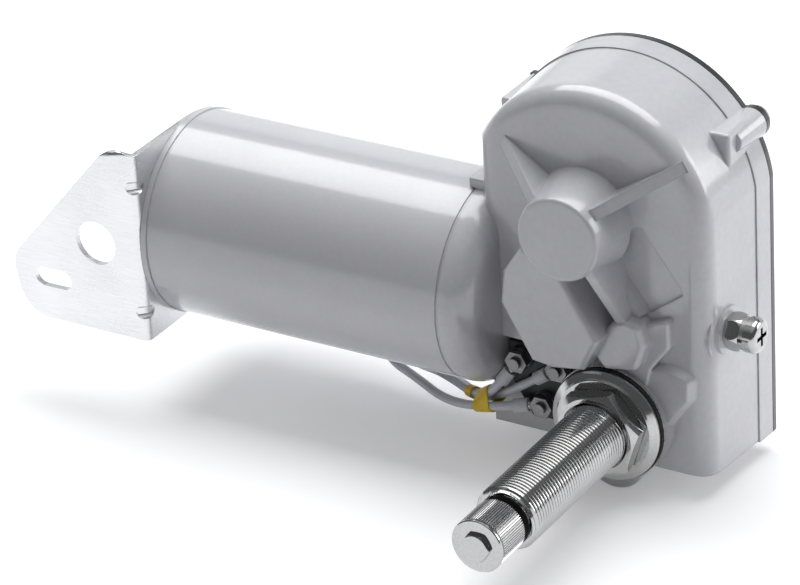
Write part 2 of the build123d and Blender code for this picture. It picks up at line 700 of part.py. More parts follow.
def brush_springs():
    """Bent leaf springs that press the brushes inwards."""
    springs = []
    outer = COMMUTATOR_R + BRUSH_LENGTH
    for angle in BRUSH_ANGLES:
        leaf = slab(COMMUTATOR_X - 1.5, COMMUTATOR_X + 1.5, MOTOR_Y + outer,
                    MOTOR_Y + outer + 0.5, MOTOR_Z - 1, MOTOR_Z + 1)
        tail = slab(COMMUTATOR_X - 1.5, COMMUTATOR_X + 1.5, MOTOR_Y + outer + 3.2,
                    MOTOR_Y + outer + 3.7, MOTOR_Z - 4, MOTOR_Z + 9)
        link = slab(COMMUTATOR_X - 1.5, COMMUTATOR_X + 1.5, MOTOR_Y + outer,
                    MOTOR_Y + outer + 3.7, MOTOR_Z - 1, MOTOR_Z - 0.5)
        leg = slab(COMMUTATOR_X - 1.5, brush_plate_x(), MOTOR_Y + outer + 0.2,
                   MOTOR_Y + outer + 3.7, MOTOR_Z + 8.5, MOTOR_Z + 9)
        springs.append(turned_x(leaf + tail + link + leg, angle))
    return joined(springs)


def front_motor_bush():
    """Sintered bush in the bell's wall."""
    return tube_x(bush_r(), MOTOR_SHAFT_R + RUN_CLEAR, FLANGE_X - 6, FLANGE_X + 3)


def rear_motor_bush():
    """Sintered bush in the end cap's cup."""
    return tube_x(bush_r(), MOTOR_SHAFT_R + RUN_CLEAR, CAN_REAR_X + 1.0, CAN_REAR_X + 9)


def worm_end_bush():
    """Sintered bush behind the right wall, for the shaft's free end."""
    return tube_x(bush_r(), MOTOR_SHAFT_R + RUN_CLEAR, WORM_BUSH_X, WORM_BUSH_X + WORM_BUSH_LENGTH)


def worm_pitch():
    return math.pi * GEAR_MODULE


def wheel_pitch_r():
    return GEAR_MODULE * WHEEL_TEETH / 2


def worm_pitch_r():
    return WHEEL_Z - MOTOR_Z - wheel_pitch_r()


def worm_lead_angle():
    return math.degrees(math.atan(worm_pitch() / (2 * math.pi * worm_pitch_r())))


TOOTH_SLACK = 0.34
WORM_RUNOUT = 3.0
SHAFT_LEFT_X = -161.0
SHAFT_RIGHT_X = 23.0


def wheel_tip_r():
    return wheel_pitch_r() + GEAR_MODULE * 0.85


def armature_shaft():
    """Motor shaft with its worm cut as a real helix, meshing with the wheel above it."""
    shaft = rod_x(MOTOR_SHAFT_R, SHAFT_LEFT_X, SHAFT_RIGHT_X)
    half = worm_pitch() * WORM_TURNS / 2
    root = worm_pitch_r() - GEAR_MODULE * 1.2
    tip = worm_pitch_r() + GEAR_MODULE * 0.85
    core = rod_x(root, WHEEL_X - half - WORM_RUNOUT, WHEEL_X + half + WORM_RUNOUT)
    path = Helix(worm_pitch(), worm_pitch() * WORM_TURNS, root)
    slope = math.tan(math.radians(20))
    width = worm_pitch() / 2 - TOOTH_SLACK
    base = width + 2 * slope * (worm_pitch_r() - root + 0.3)
    crest = width - 2 * slope * (tip - worm_pitch_r())
    section = Plane(origin=path @ 0, x_dir=(1, 0, 0), z_dir=path % 0)
    outline = Polyline((-0.3, -base / 2), (tip - root, -crest / 2), (tip - root, crest / 2),
                       (-0.3, base / 2), close=True)
    thread = sweep(section * make_face(outline), path=path, is_frenet=True)
    thread = Pos(WHEEL_X - half, MOTOR_Y, MOTOR_Z) * Rot(0, 90, 0) * thread
    return shaft + core + thread


def armature_core():
    """Stack of slotted laminations."""
    left = CORE_MID_X - CORE_LENGTH / 2
    right = left + CORE_LENGTH
    stack = tube_x(CORE_R, MOTOR_SHAFT_R, left, right)
    slot = slab(left - 1, right + 1, MOTOR_Y + CORE_R - 11.0, MOTOR_Y + CORE_R - 2.0,
                MOTOR_Z - 2.1, MOTOR_Z + 2.1)
    slot += slab(left - 1, right + 1, MOTOR_Y + CORE_R - 3.0, MOTOR_Y + CORE_R + 1,
                 MOTOR_Z - 0.8, MOTOR_Z + 0.8)
    return stack - [turned_x(slot, number * 360 / CORE_SLOTS) for number in range(CORE_SLOTS)]


def armature_windings():
    """Copper coils: bars in the slots and rounded heads beyond the stack."""
    left = CORE_MID_X - CORE_LENGTH / 2
    right = left + CORE_LENGTH
    head = 9.0
    coil = None
    for near, far in ((left - head, left - 0.2), (right + 0.2, right + head)):
        ring = tube_x(CORE_R - 1.5, MOTOR_SHAFT_R + 3.5, near, far)
        ring = fillet(ring.edges().filter_by(GeomType.CIRCLE), 2.4)
        coil = ring if coil is None else coil + ring
    bar = slab(left - 1, right + 1, MOTOR_Y + CORE_R - 10.4, MOTOR_Y + CORE_R - 2.6,
               MOTOR_Z - 1.7, MOTOR_Z + 1.7)
    return coil + [turned_x(bar, number * 360 / CORE_SLOTS) for number in range(CORE_SLOTS)]


def commutator():
    """Copper segments on a moulded hub, pressed on the shaft."""
    left = COMMUTATOR_X - COMMUTATOR_LENGTH / 2
    right = left + COMMUTATOR_LENGTH
    drum = tube_x(COMMUTATOR_R, MOTOR_SHAFT_R, left, right)
    cut = slab(left + 2.0, right + 1, MOTOR_Y + COMMUTATOR_R - 1, MOTOR_Y + COMMUTATOR_R + 1,
               MOTOR_Z - 0.25, MOTOR_Z + 0.25)
    drum -= [turned_x(cut, (number + 0.5) * 360 / CORE_SLOTS) for number in range(CORE_SLOTS)]
    return drum + tube_x(COMMUTATOR_R + 1.2, MOTOR_SHAFT_R, left, left + 2.0)


# Worm wheel and crank


def wheel_front_y():
    return MOTOR_Y - WHEEL_FACE / 2


def wheel_back_y():
    return MOTOR_Y + WHEEL_FACE / 2


def worm_wheel():
    """Moulded helical wheel with a web, hub and lightening holes; teeth follow the worm."""
    pitch_r = wheel_pitch_r()
    root = pitch_r - GEAR_MODULE * 1.2
    tip = pitch_r + GEAR_MODULE * 0.85
    front, back = wheel_front_y(), wheel_back_y()
    rim = tube_y(root, root - 4.5, front, back)
    web = tube_y(root - 4, WHEEL_HUB_R - 1, MOTOR_Y - WHEEL_WEB / 2, MOTOR_Y + WHEEL_WEB / 2)
    hub = rod_y(WHEEL_HUB_R, front, back)
    body = rim + web + hub
    slope = math.tan(math.radians(20))
    width = worm_pitch() / 2 - TOOTH_SLACK
    base = width + 2 * slope * (pitch_r - root + 0.4)
    crest = width - 2 * slope * (tip - pitch_r)
    tooth = prism_y([(-base / 2, -(root - 0.4)), (-crest / 2, -tip), (crest / 2, -tip),
                     (base / 2, -(root - 0.4))], -WHEEL_FACE / 2, WHEEL_FACE / 2)
    tooth = Rot(0, 0, worm_lead_angle()) * tooth
    tooth = Pos(0, MOTOR_Y, 0) * tooth
    step = 360 / WHEEL_TEETH
    body += [Rot(0, step * (number + 0.5), 0) * tooth for number in range(WHEEL_TEETH)]
    body -= rod_y(AXLE_R + RUN_CLEAR, front - 5, back + 5)
    body = Pos(WHEEL_X, 0, WHEEL_Z) * body
    crank_x, crank_z, length = linkage()
    return body - rod_y(CRANK_PIN_R, MOTOR_Y - WHEEL_WEB / 2, back + 1, crank_x, crank_z)


def linkage():
    """Crank pin place at rest and rod length, from the sweep and the rocker's radius.

    The rocker lies to the left at mid sweep. At its two ends the crank and the rod are in
    line, once stretched and once folded, which gives the rod's length and crank's radius."""
    half = math.radians(SWEEP / 2)
    reaches = []
    for sign in (-1, 1):
        pin_x = -ROCKER_R * math.cos(half)
        pin_z = sign * ROCKER_R * math.sin(half)
        reaches.append(math.hypot(WHEEL_X - pin_x, WHEEL_Z - pin_z))
    rod = sum(reaches) / 2
    crank = (reaches[0] - reaches[1]) / 2
    span = math.hypot(WHEEL_X + ROCKER_R, WHEEL_Z)
    opening = math.acos((span ** 2 + crank ** 2 - rod ** 2) / (2 * span * crank))
    direction = math.atan2(-WHEEL_Z, -ROCKER_R - WHEEL_X) - opening
    return WHEEL_X + crank * math.cos(direction), WHEEL_Z + crank * math.sin(direction), rod


def wheel_axle():
    """Fixed axle pressed into the stub boss, with a groove for its clip."""
    axle = rod_y(AXLE_R, AXLE_FRONT_Y, AXLE_BACK_Y, WHEEL_X, WHEEL_Z)
    clip_y = wheel_back_y() + 1.3
    return axle - tube_y(AXLE_R + 1, AXLE_R - 0.8, clip_y, clip_y + CLIP_THICKNESS, WHEEL_X, WHEEL_Z)


def axle_washers():
    """Thrust washers in front of and behind the wheel hub."""
    gap = RUN_CLEAR * 2
    front = tube_y(9.0, AXLE_R + RUN_CLEAR, hub_face_y(), wheel_front_y() - gap, WHEEL_X, WHEEL_Z)
    back = tube_y(5.6, AXLE_R + RUN_CLEAR, wheel_back_y() + gap, wheel_back_y() + 1.2,
                  WHEEL_X, WHEEL_Z)
    return joined([front, back])


def park_disc():
    """Contact ring in the wheel's rear recess, with the notch that marks the parked place."""
    front = MOTOR_Y + WHEEL_WEB / 2
    ring = tube_y(PARK_DISC_R, PARK_DISC_BORE_R, front, front + PARK_DISC_THICKNESS,
                  WHEEL_X, WHEEL_Z)
    return ring - slab(WHEEL_X - 25, WHEEL_X - PARK_DISC_BORE_R - 2.4, front - 1, front + 3,
                       WHEEL_Z - 5, WHEEL_Z + 5)


PARK_LEAF_X = (9.6, 8.6, 9.6)
PARK_LEAF_Z = (-6.0, 0.0, 6.0)
PARK_PLATE_Y = 56.0


def park_plate():
    """Moulded carrier inside the back cover for the park contacts."""
    back = BOX_BACK_Y + GASKET
    plate = slab(5.5, 22.0, PARK_PLATE_Y, back, WHEEL_Z - 11, WHEEL_Z + 11)
    return chamfer(plate.edges().filter_by(Axis.Y), 2.0)


def park_contacts():
    """Three sprung leaves that reach the ring on the wheel, each with a foot on the plate."""
    tip = MOTOR_Y + WHEEL_WEB / 2 + PARK_DISC_THICKNESS + SEAT_GAP
    leaves = []
    for x, z in zip(PARK_LEAF_X, PARK_LEAF_Z):
        leg = slab(x + 0.6, x + 1.2, tip + 0.5, PARK_PLATE_Y, WHEEL_Z + z - 1.5, WHEEL_Z + z + 1.5)
        toe = slab(x - 1.0, x + 1.2, tip, tip + 0.6, WHEEL_Z + z - 1.5, WHEEL_Z + z + 1.5)
        foot = slab(x + 0.6, x + 7.0, PARK_PLATE_Y - 0.6, PARK_PLATE_Y, WHEEL_Z + z - 1.5,
                    WHEEL_Z + z + 1.5)
        leaves.append(leg + toe + foot)
    return joined(leaves)


def axle_clip():
    """Open retaining ring in the axle's groove."""
    clip_y = wheel_back_y() + 1.3
    ring = tube_y(AXLE_R - 0.8 + CLIP_WIDTH, AXLE_R - 0.8, clip_y, clip_y + CLIP_THICKNESS,
                  WHEEL_X, WHEEL_Z)
    return ring - slab(WHEEL_X - 2.4, WHEEL_X + 2.4, clip_y - 1, clip_y + 3, WHEEL_Z, WHEEL_Z + 12)


def crank_pin():
    """Pin on the wheel; it stops just short of the rod, where the linkage is opened."""
    x, z, length = linkage()
    return rod_y(CRANK_PIN_R, MOTOR_Y - WHEEL_WEB / 2, ROD_Y - LINK_GAP, x, z)


def connecting_rod():
    """Pressed steel rod behind the wheel and the rocker, with an eye at each end."""
    crank_x, crank_z, length = linkage()
    front, back = ROD_Y, ROD_Y + ROD_THICKNESS
    eye = rod_y(CRANK_EYE_R, front, back, crank_x, crank_z)
    foot = rod_y(LINK_EYE_R, front, back, -ROCKER_R, 0)
    dx, dz = crank_x + ROCKER_R, crank_z
    reach = math.hypot(dx, dz)
    side_x, side_z = dz / reach, -dx / reach
    wide, narrow = CRANK_EYE_R * 0.72, LINK_EYE_R * 0.8
    bar = prism_y([(-ROCKER_R - side_x * narrow, -side_z * narrow),
                   (crank_x - side_x * wide, crank_z - side_z * wide),
                   (crank_x + side_x * wide, crank_z + side_z * wide),
                   (-ROCKER_R + side_x * narrow, side_z * narrow)], front, back)
    rod = bar + eye + foot
    rod -= rod_y(CRANK_PIN_R + 1.2, front - 1, back + 1, crank_x, crank_z)
    return rod - rod_y(ROCKER_PIN_R + 0.8, front - 1, back + 1, -ROCKER_R, 0)


def rod_bushes():
    """Bronze liners in the rod's two eyes."""
    crank_x, crank_z, length = linkage()
    front, back = ROD_Y, ROD_Y + ROD_THICKNESS
    return joined([tube_y(CRANK_PIN_R + 1.2, CRANK_PIN_R + RUN_CLEAR, front, back, crank_x, crank_z),
                   tube_y(ROCKER_PIN_R + 0.8, ROCKER_PIN_R + RUN_CLEAR, front, back, -ROCKER_R, 0)])


def rocker_back_y():
    return ROD_Y - LINK_GAP


def rocker_arm():
    """Short lever pressed on the spindle's inner end."""
    front, back = ROCKER_FRONT_Y, rocker_back_y()
    arm = rod_y(SHAFT_R + 3.2, front, back) + rod_y(LINK_EYE_R, front, back, -ROCKER_R, 0)
    arm += slab(-ROCKER_R, 0, front, back, -LINK_EYE_R, LINK_EYE_R)
    arm -= rod_y(SHAFT_R, front - 1, back + 1)
    return arm - rod_y(ROCKER_PIN_R, front - 1, back + 1, -ROCKER_R, 0)


def rocker_pin():
    """Pin pressed in the rocker, with a groove behind the rod."""
    back = ROD_Y + ROD_THICKNESS
    pin = rod_y(ROCKER_PIN_R, ROCKER_FRONT_Y, back + 2.2, -ROCKER_R, 0)
    return pin - tube_y(ROCKER_PIN_R + 1, ROCKER_PIN_R - 0.5, back + 0.3, back + 1.1, -ROCKER_R, 0)


def rod_clip():
    """Open ring in the pin's groove that keeps the rod on."""
    back = ROD_Y + ROD_THICKNESS
    ring = tube_y(ROCKER_PIN_R + 1.5, ROCKER_PIN_R - 0.5, back + 0.3, back + 1.1, -ROCKER_R, 0)
    return ring - slab(-ROCKER_R - 9, -ROCKER_R, back, back + 3, -1.4, 1.4)


# Spindle group


def driver_back_y():
    return DRIVER_FRONT_Y + DRIVER_LENGTH


def spindle_shaft():
    shaft = rod_y(SHAFT_R, DRIVER_FRONT_Y + 0.6, rocker_back_y())
    return shaft - rod_y(CAP_SHANK_R, DRIVER_FRONT_Y - 1, DRIVER_FRONT_Y + 0.6 + CAP_SHANK)


def knurled_driver():
    """Hard driver that a wiper arm is pressed on, with a plain lip at its free end."""
    body = rod_y(DRIVER_R, DRIVER_FRONT_Y, driver_back_y())
    body = chamfer(body.edges().filter_by(GeomType.CIRCLE), 0.7)
    neck = rod_y(DRIVER_R - 1.6, driver_back_y() - 0.5, driver_back_y() + 1.4)
    body += neck
    body -= rod_y(SHAFT_R, DRIVER_FRONT_Y + 0.6, driver_back_y() + 3)
    return body - rod_y(CAP_SHANK_R, DRIVER_FRONT_Y - 1, DRIVER_FRONT_Y + 2)


def driver_cap_screw():
    """Low hexagon screw that holds the driver on the shaft."""
    head = hex_y(CAP_HEX, DRIVER_FRONT_Y - CAP_HEIGHT, DRIVER_FRONT_Y)
    dome = Pos(0, DRIVER_FRONT_Y + 6.2, 0) * Sphere(8.8)
    shank = rod_y(CAP_SHANK_R, DRIVER_FRONT_Y, DRIVER_FRONT_Y + 0.6 + CAP_SHANK - 0.5)
    return (head & dome) + shank


def nut_front_y():
    """Front face of the hexagon nut, where the sleeve's crest stops in the solids."""
    return CLAMP_Y - DISH_DEPTH - NUT_HEIGHT


def spindle_sleeve():
    """Sleeve whose outside carries the fixing thread; its free end is coned."""
    sleeve = rod_y(SLEEVE_R, SLEEVE_FRONT_Y, nut_front_y()) + rod_y(SLEEVE_SHANK_R, 0, SLEEVE_BACK_Y)
    end = sleeve.edges().filter_by(GeomType.CIRCLE).sort_by(Axis.Y)[0]
    sleeve = chamfer(end, SLEEVE_END_LENGTH, SLEEVE_R - SLEEVE_END_R)
    return sleeve - rod_y(SLEEVE_BORE_R, SLEEVE_FRONT_Y - 1, SLEEVE_BACK_Y + 1)


def spindle_shim():
    """Thrust ring between the sleeve's inner end and the rocker."""
    return tube_y(SLEEVE_BORE_R + 1, SHAFT_R, SLEEVE_BACK_Y + RUN_CLEAR, ROCKER_FRONT_Y)


def front_spindle_bush():
    front = SLEEVE_FRONT_Y + SEAL_THICKNESS + 1.0
    return tube_y(SLEEVE_BORE_R, SHAFT_R + RUN_CLEAR, front, front + BUSH_LENGTH)


def rear_spindle_bush():
    return tube_y(SLEEVE_BORE_R, SHAFT_R + RUN_CLEAR, SLEEVE_BACK_Y - BUSH_LENGTH, SLEEVE_BACK_Y)


def spindle_seal():
    """Rubber ring that keeps water out of the sleeve."""
    front = SLEEVE_FRONT_Y + 1.0
    return tube_y(SLEEVE_BORE_R, SHAFT_R + RUN_CLEAR, front, front + SEAL_THICKNESS)


def dished_washer():
    """Pressed cup washer, its rim turned towards the housing."""
    bore = SLEEVE_R + SEAT_GAP
    top = -DISH_DEPTH + DISH_SHEET
    with BuildPart() as cup:
        with BuildSketch(Plane.XY):
            with BuildLine():
                Polyline((bore, top - DISH_SHEET), (DISH_R - 2.6, top - DISH_SHEET),
                         (DISH_R - 2.0, top - DISH_SHEET + 0.5), (DISH_R, 0.0),
                         (DISH_R, DISH_SHEET), (DISH_R - 1.0, DISH_SHEET),
                         (DISH_R - 3.0, top), (bore, top), close=True)
            make_face()
        revolve(axis=Axis.Y)
    return Pos(0, CLAMP_Y, 0) * cup.part


def sleeve_nut():
    """Hexagon nut with both faces turned down to a round."""
    back = CLAMP_Y - DISH_DEPTH
    nut = Rot(0, -NUT_TURN, 0) * hex_y(NUT_HEX, back - NUT_HEIGHT, back)
    cone = NUT_HEX / 2
    corner = NUT_HEX / math.sqrt(3)
    rise = (corner - cone) * math.tan(math.radians(30)) + 0.2
    with BuildPart() as turned:
        with BuildSketch(Plane.XY):
            with BuildLine():
                Polyline((0, back - NUT_HEIGHT), (cone - 0.4, back - NUT_HEIGHT),
                         (corner + 0.1, back - NUT_HEIGHT + rise), (corner + 0.1, back - rise),
                         (cone - 0.4, back), (0, back), close=True)
            make_face()
        revolve(axis=Axis.Y)
    nut = nut & turned.part
    nut -= rod_y(SLEEVE_SHANK_R, back - NUT_HEIGHT - 1, back + 1)
    mouth = extrude(at_y(back - NUT_HEIGHT + 1.2) * Circle(SLEEVE_SHANK_R), 1.2, taper=-45)
    return nut - mouth


def steel_washer():
    """Thin flat washer between the two rubber rings."""
    front = CLAMP_Y + DISH_SHEET + RUBBER_THICKNESS
    return tube_y(FLAT_WASHER_R, SLEEVE_R + SEAT_GAP, front, front + FLAT_WASHER_THICKNESS)


def rubber_washers():
    """Rubber ring on each side of the flat washer."""
    front = CLAMP_Y + DISH_SHEET
    middle = front + RUBBER_THICKNESS
    rings = [tube_y(RUBBER_R, SLEEVE_R + SEAT_GAP, front, middle),
             tube_y(BACK_RUBBER_R, SLEEVE_R + SEAT_GAP, middle + FLAT_WASHER_THICKNESS, boss_face_y())]
    return joined(rings)


# Rear bracket


def bracket_plate_outline():
    """Free leg of the bracket in X and Z, seen from the front."""
    bend_x = CAN_REAR_X - REAR_CAP_RIM
    top, bottom = BRACKET_TOP_Z, BRACKET_BOTTOM_Z
    tip = BRACKET_TIP_X
    shoulder, point, heel = (-176.6, 67.0), (tip - 1.5, 18.9), (tip + 3.0, bottom)
    corners = [(bend_x, bottom), (bend_x, top), shoulder, point, heel]
    outline = make_face(Polyline(*corners, close=True))
    for corner, radius in ((shoulder, 9.0), (point, 11.0), (heel, 12.0)):
        outline = fillet(outline.vertices().sort_by_distance(corner)[0], radius)
    return outline


def mounting_bracket():
    """Sheet bracket: a round leg on the end cap and a free leg in the bulkhead's plane."""
    left = CAN_REAR_X - REAR_CAP_RIM - BRACKET_SHEET
    right = left + BRACKET_SHEET
    back = MOTOR_Y + BRACKET_FLANGE_R
    section = make_face(Polyline((BRACKET_TIP_X - 5, 0), (right, 0), (right, back + 1),
                                 (left, back + 1), (left, BRACKET_SHEET),
                                 (BRACKET_TIP_X - 5, BRACKET_SHEET), close=True))
    section = fillet(section.vertices().sort_by_distance((right, 0))[0], BRACKET_BEND_R)
    section = fillet(section.vertices().sort_by_distance((left, BRACKET_SHEET))[0],
                     BRACKET_BEND_R - BRACKET_SHEET)
    folded = Pos(0, 0, BRACKET_BOTTOM_Z - 5) * extrude(section, 80)
    leg = extrude(at_y(8) * bracket_plate_outline(), 16)
    flange = rod_x(BRACKET_FLANGE_R, left - 1, right + 1)
    flange += slab(left - 1, right + 1, -2, MOTOR_Y, BRACKET_BOTTOM_Z, BRACKET_TOP_Z)
    sheet = folded & (leg + flange)
    for z in GUSSET_Z:
        sheet += bend_gusset(left, BRACKET_SHEET, z)
    sheet -= rod_y(BRACKET_HOLE_R, -1, BRACKET_SHEET + 1, BRACKET_HOLE_X, BRACKET_HOLE_Z)
    slot = at_y(BRACKET_SHEET + 1) * Pos(SLOT_X, SLOT_Z) * SlotOverall(SLOT_LENGTH, SLOT_WIDTH)
    sheet -= extrude(slot, BRACKET_SHEET + 2)
    for y, z in tie_bolt_places():
        sheet -= rod_x(TIE_BOLT_R, left - 1, right + 1, y, z)
    return sheet


def bend_gusset(x, y, z):
    """Pressed stiffener inside the bend."""
    face = Plane.XY * Pos(x, y) * make_face(Polyline((0.5, -0.5), (-GUSSET_LEG, -0.5),
                                                     (-GUSSET_LEG, 0), (0, GUSSET_LEG),
                                                     (0.5, GUSSET_LEG), close=True))
    return Pos(0, 0, z - GUSSET_WIDTH / 2) * extrude(face, GUSSET_WIDTH)


# End-play adjuster


def wall_right_at(y):
    """Outside of the right wall at depth y, with its draft."""
    return WALL_RIGHT_X - draft_shift(BOX_BACK_Y - y)


def adjuster_seat_x():
    return wall_right_at(MOTOR_Y) + 0.9


def adjuster_land():
    return rod_x(8.0, wall_right_at(MOTOR_Y) - 1.5, adjuster_seat_x())


def thrust_lock_nut():
    left = adjuster_seat_x()
    nut = hex_x(LOCK_NUT_HEX, left, left + LOCK_NUT_HEIGHT)
    ball = Pos(left + LOCK_NUT_HEIGHT / 2, MOTOR_Y, MOTOR_Z) * Sphere(LOCK_NUT_HEX * 0.572)
    return (nut & ball) - rod_x(THRUST_SCREW_R, left - 1, left + LOCK_NUT_HEIGHT + 1)


def thrust_spring_washer():
    """Split spring washer between nut and screw head."""
    left = adjuster_seat_x() + LOCK_NUT_HEIGHT
    ring = tube_x(SPRING_WASHER_R, THRUST_SCREW_R, left, left + SPRING_WASHER_THICKNESS)
    return ring - slab(left - 1, left + 5, MOTOR_Y - 12, MOTOR_Y, MOTOR_Z - 0.6, MOTOR_Z + 0.6)


def thrust_screw():
    """Cross-recess screw that sets the shaft's end play."""
    left = adjuster_seat_x() + LOCK_NUT_HEIGHT + SPRING_WASHER_THICKNESS
    head = rod_x(THRUST_HEAD_R, left, left + THRUST_HEAD_H)
    head = fillet(head.edges().filter_by(GeomType.CIRCLE).sort_by(Axis.X)[-1], 1.9)
    shank = rod_x(THRUST_SCREW_R, thrust_pad_right(), left)
    cross = slab(left + 1.6, left + 9, MOTOR_Y - 3.2, MOTOR_Y + 3.2, MOTOR_Z - 0.7, MOTOR_Z + 0.7)
    cross += slab(left + 1.6, left + 9, MOTOR_Y - 0.7, MOTOR_Y + 0.7, MOTOR_Z - 3.2, MOTOR_Z + 3.2)
    return head + shank - cross


def thrust_pad_right():
    return SHAFT_RIGHT_X + RUN_CLEAR + 2.5


def thrust_pad():
    """Hard plastic pad that the shaft's end runs against."""
    return rod_x(THRUST_PAD_R, SHAFT_RIGHT_X + RUN_CLEAR, thrust_pad_right())


# Terminals


def terminal_plate():
    """Moulded plate in the recess that insulates the studs."""
    front = RECESS_Y - TERMINAL_PLATE
    plate = prism_y([(-40.3, 16.8), (-16.0, 16.8), (-18.5, 3.0), (-22.0, -9.0), (-32.5, -9.0),
                     (-40.3, 4.5)], front, RECESS_Y, 2.0)
    for x, z in TERMINALS:
        plate += rod_y(4.2, front - 0.7, front + 1, x, z)
        plate -= rod_y(STUD_R, front - 2, RECESS_Y + 1, x, z)
    for number in range(3):
        plate -= lead_cover(number, SLEEVE_TUBE_R + SEAT_GAP)
    return plate


def lug_back_y():
    return RECESS_Y - TERMINAL_PLATE - 0.7


def terminal_studs():
    """Threaded studs set in the housing's wall."""
    return joined([rod_y(STUD_R, STUD_FRONT_Y, RECESS_Y + CASTING_WALL - 1, x, z) for x, z in TERMINALS])


def terminal_nuts():
    back = lug_back_y() - LUG_THICKNESS
    nuts = []
    for x, z in TERMINALS:
        nut = hex_y(TERMINAL_NUT_HEX, back - TERMINAL_NUT_HEIGHT, back, x, z)
        nuts.append(nut - rod_y(STUD_R, back - 5, back + 1, x, z))
    return joined(nuts)


def lug_plane(number):
    """Plane at a terminal ring, looking along the first run of its lead."""
    x, z = TERMINALS[number]
    start = Vector(x, lug_back_y() - LUG_THICKNESS / 2, z)
    return Plane(origin=start, z_dir=Vector(*LEAD_BENDS[number][0]) - start)


def lug_bar(number, radius, near, far):
    """Round bar along the first run, between two distances from the terminal."""
    face = lug_plane(number).offset(near) * Circle(radius)
    return extrude(face, far - near)


def lead_cover(number, radius):
    """Room that the tube over a lug and the start of its lead take up."""
    return lug_bar(number, radius, LUG_NECK - 1.2, LUG_NECK + SLEEVE_TUBE + 3)


def ring_lugs():
    """Crimp lugs: a ring under each nut and a barrel towards its lead."""
    back = lug_back_y()
    lugs = []
    for number, (x, z) in enumerate(TERMINALS):
        ring = rod_y(LUG_R, back - LUG_THICKNESS, back, x, z)
        neck = lug_bar(number, 1.4, 2.4, LUG_NECK + 0.5)
        barrel = lug_bar(number, LEAD_R, LUG_NECK, LUG_NECK + LUG_BARREL)
        keep = rod_y(4.3, back - 8, back - LUG_THICKNESS, x, z)
        keep += rod_y(4.3, back, back + 8, x, z)
        lug = ring + ((neck + barrel) - keep)
        lugs.append(lug - rod_y(STUD_R, back - 3, back + 3, x, z))
    return joined(lugs)


def lug_tubes():
    """Insulating tubes over the lug barrels and the first of each lead."""
    start, end = LUG_NECK + 0.6, LUG_NECK + SLEEVE_TUBE
    return joined([lug_bar(number, SLEEVE_TUBE_R, start, end)
                   - lug_bar(number, LEAD_R, start - 1, end + 1) for number in range(3)])


def lead_points(number):
    """Bend points of one lead from its lug to the boot."""
    start = lug_plane(number).from_local_coords(Vector(0, 0, LUG_NECK + LUG_BARREL))
    turn = math.radians(90 - 120 * number)
    across = (BOOT_SPREAD * math.cos(turn), BOOT_SPREAD * math.sin(turn))
    end = boot_plane().from_local_coords(Vector(*across, 0))
    before = boot_plane().from_local_coords(Vector(*across, LAST_RUN))
    return [start, *[Vector(*bend) for bend in LEAD_BENDS[number]], before, end]


def lead(number):
    """One lead as straight runs and tangent bends."""
    points = lead_points(number)
    radii = []
    for before, corner, after in zip(points, points[1:], points[2:]):
        first, second = corner - before, after - corner
        half_turn = math.radians(first.get_angle(second)) / 2
        radii.append(0.45 * min(first.length, second.length) / math.tan(half_turn))
    print("lead", number + 1, "radii", [round(radius, 1) for radius in radii],
          "runs", [round((b - a).length, 1) for a, b in zip(points, points[1:])])
    path = FilletPolyline(*points, radius=radii)
    section = Plane(origin=path @ 0, z_dir=path % 0) * Circle(LEAD_R)
    return sweep(section, path=path)


MARKER_LENGTH = 5.0
MARKER_WALL = 0.6


def marker_sleeves():
    """Two plain sleeves that gather the leads beside the terminals."""
    first = [Vector(*LEAD_BENDS[number][0]) for number in range(3)]
    second = [Vector(*LEAD_BENDS[number][1]) for number in range(3)]
    start, along = Vector(0, 0, 0), Vector(0, 0, 0)
    for near, far in zip(first, second):
        direction = (far - near).normalized()
        along += direction
        start += (near + direction * 2) / 3
    face = Plane(origin=start, z_dir=along) * (Circle(5.0 + MARKER_WALL) - Circle(5.0))
    rings = [extrude(face, MARKER_LENGTH)]
    pair = (second[0] + second[1]) / 2
    onward = (Vector(*LEAD_BENDS[0][2]) + Vector(*LEAD_BENDS[1][2])) / 2 - pair
    plane = Plane(origin=pair, z_dir=onward)
    face = plane.offset(0.5) * (Circle(3.5 + MARKER_WALL) - Circle(3.5))
    rings.append(extrude(face, MARKER_LENGTH - 1))
    return joined(rings)


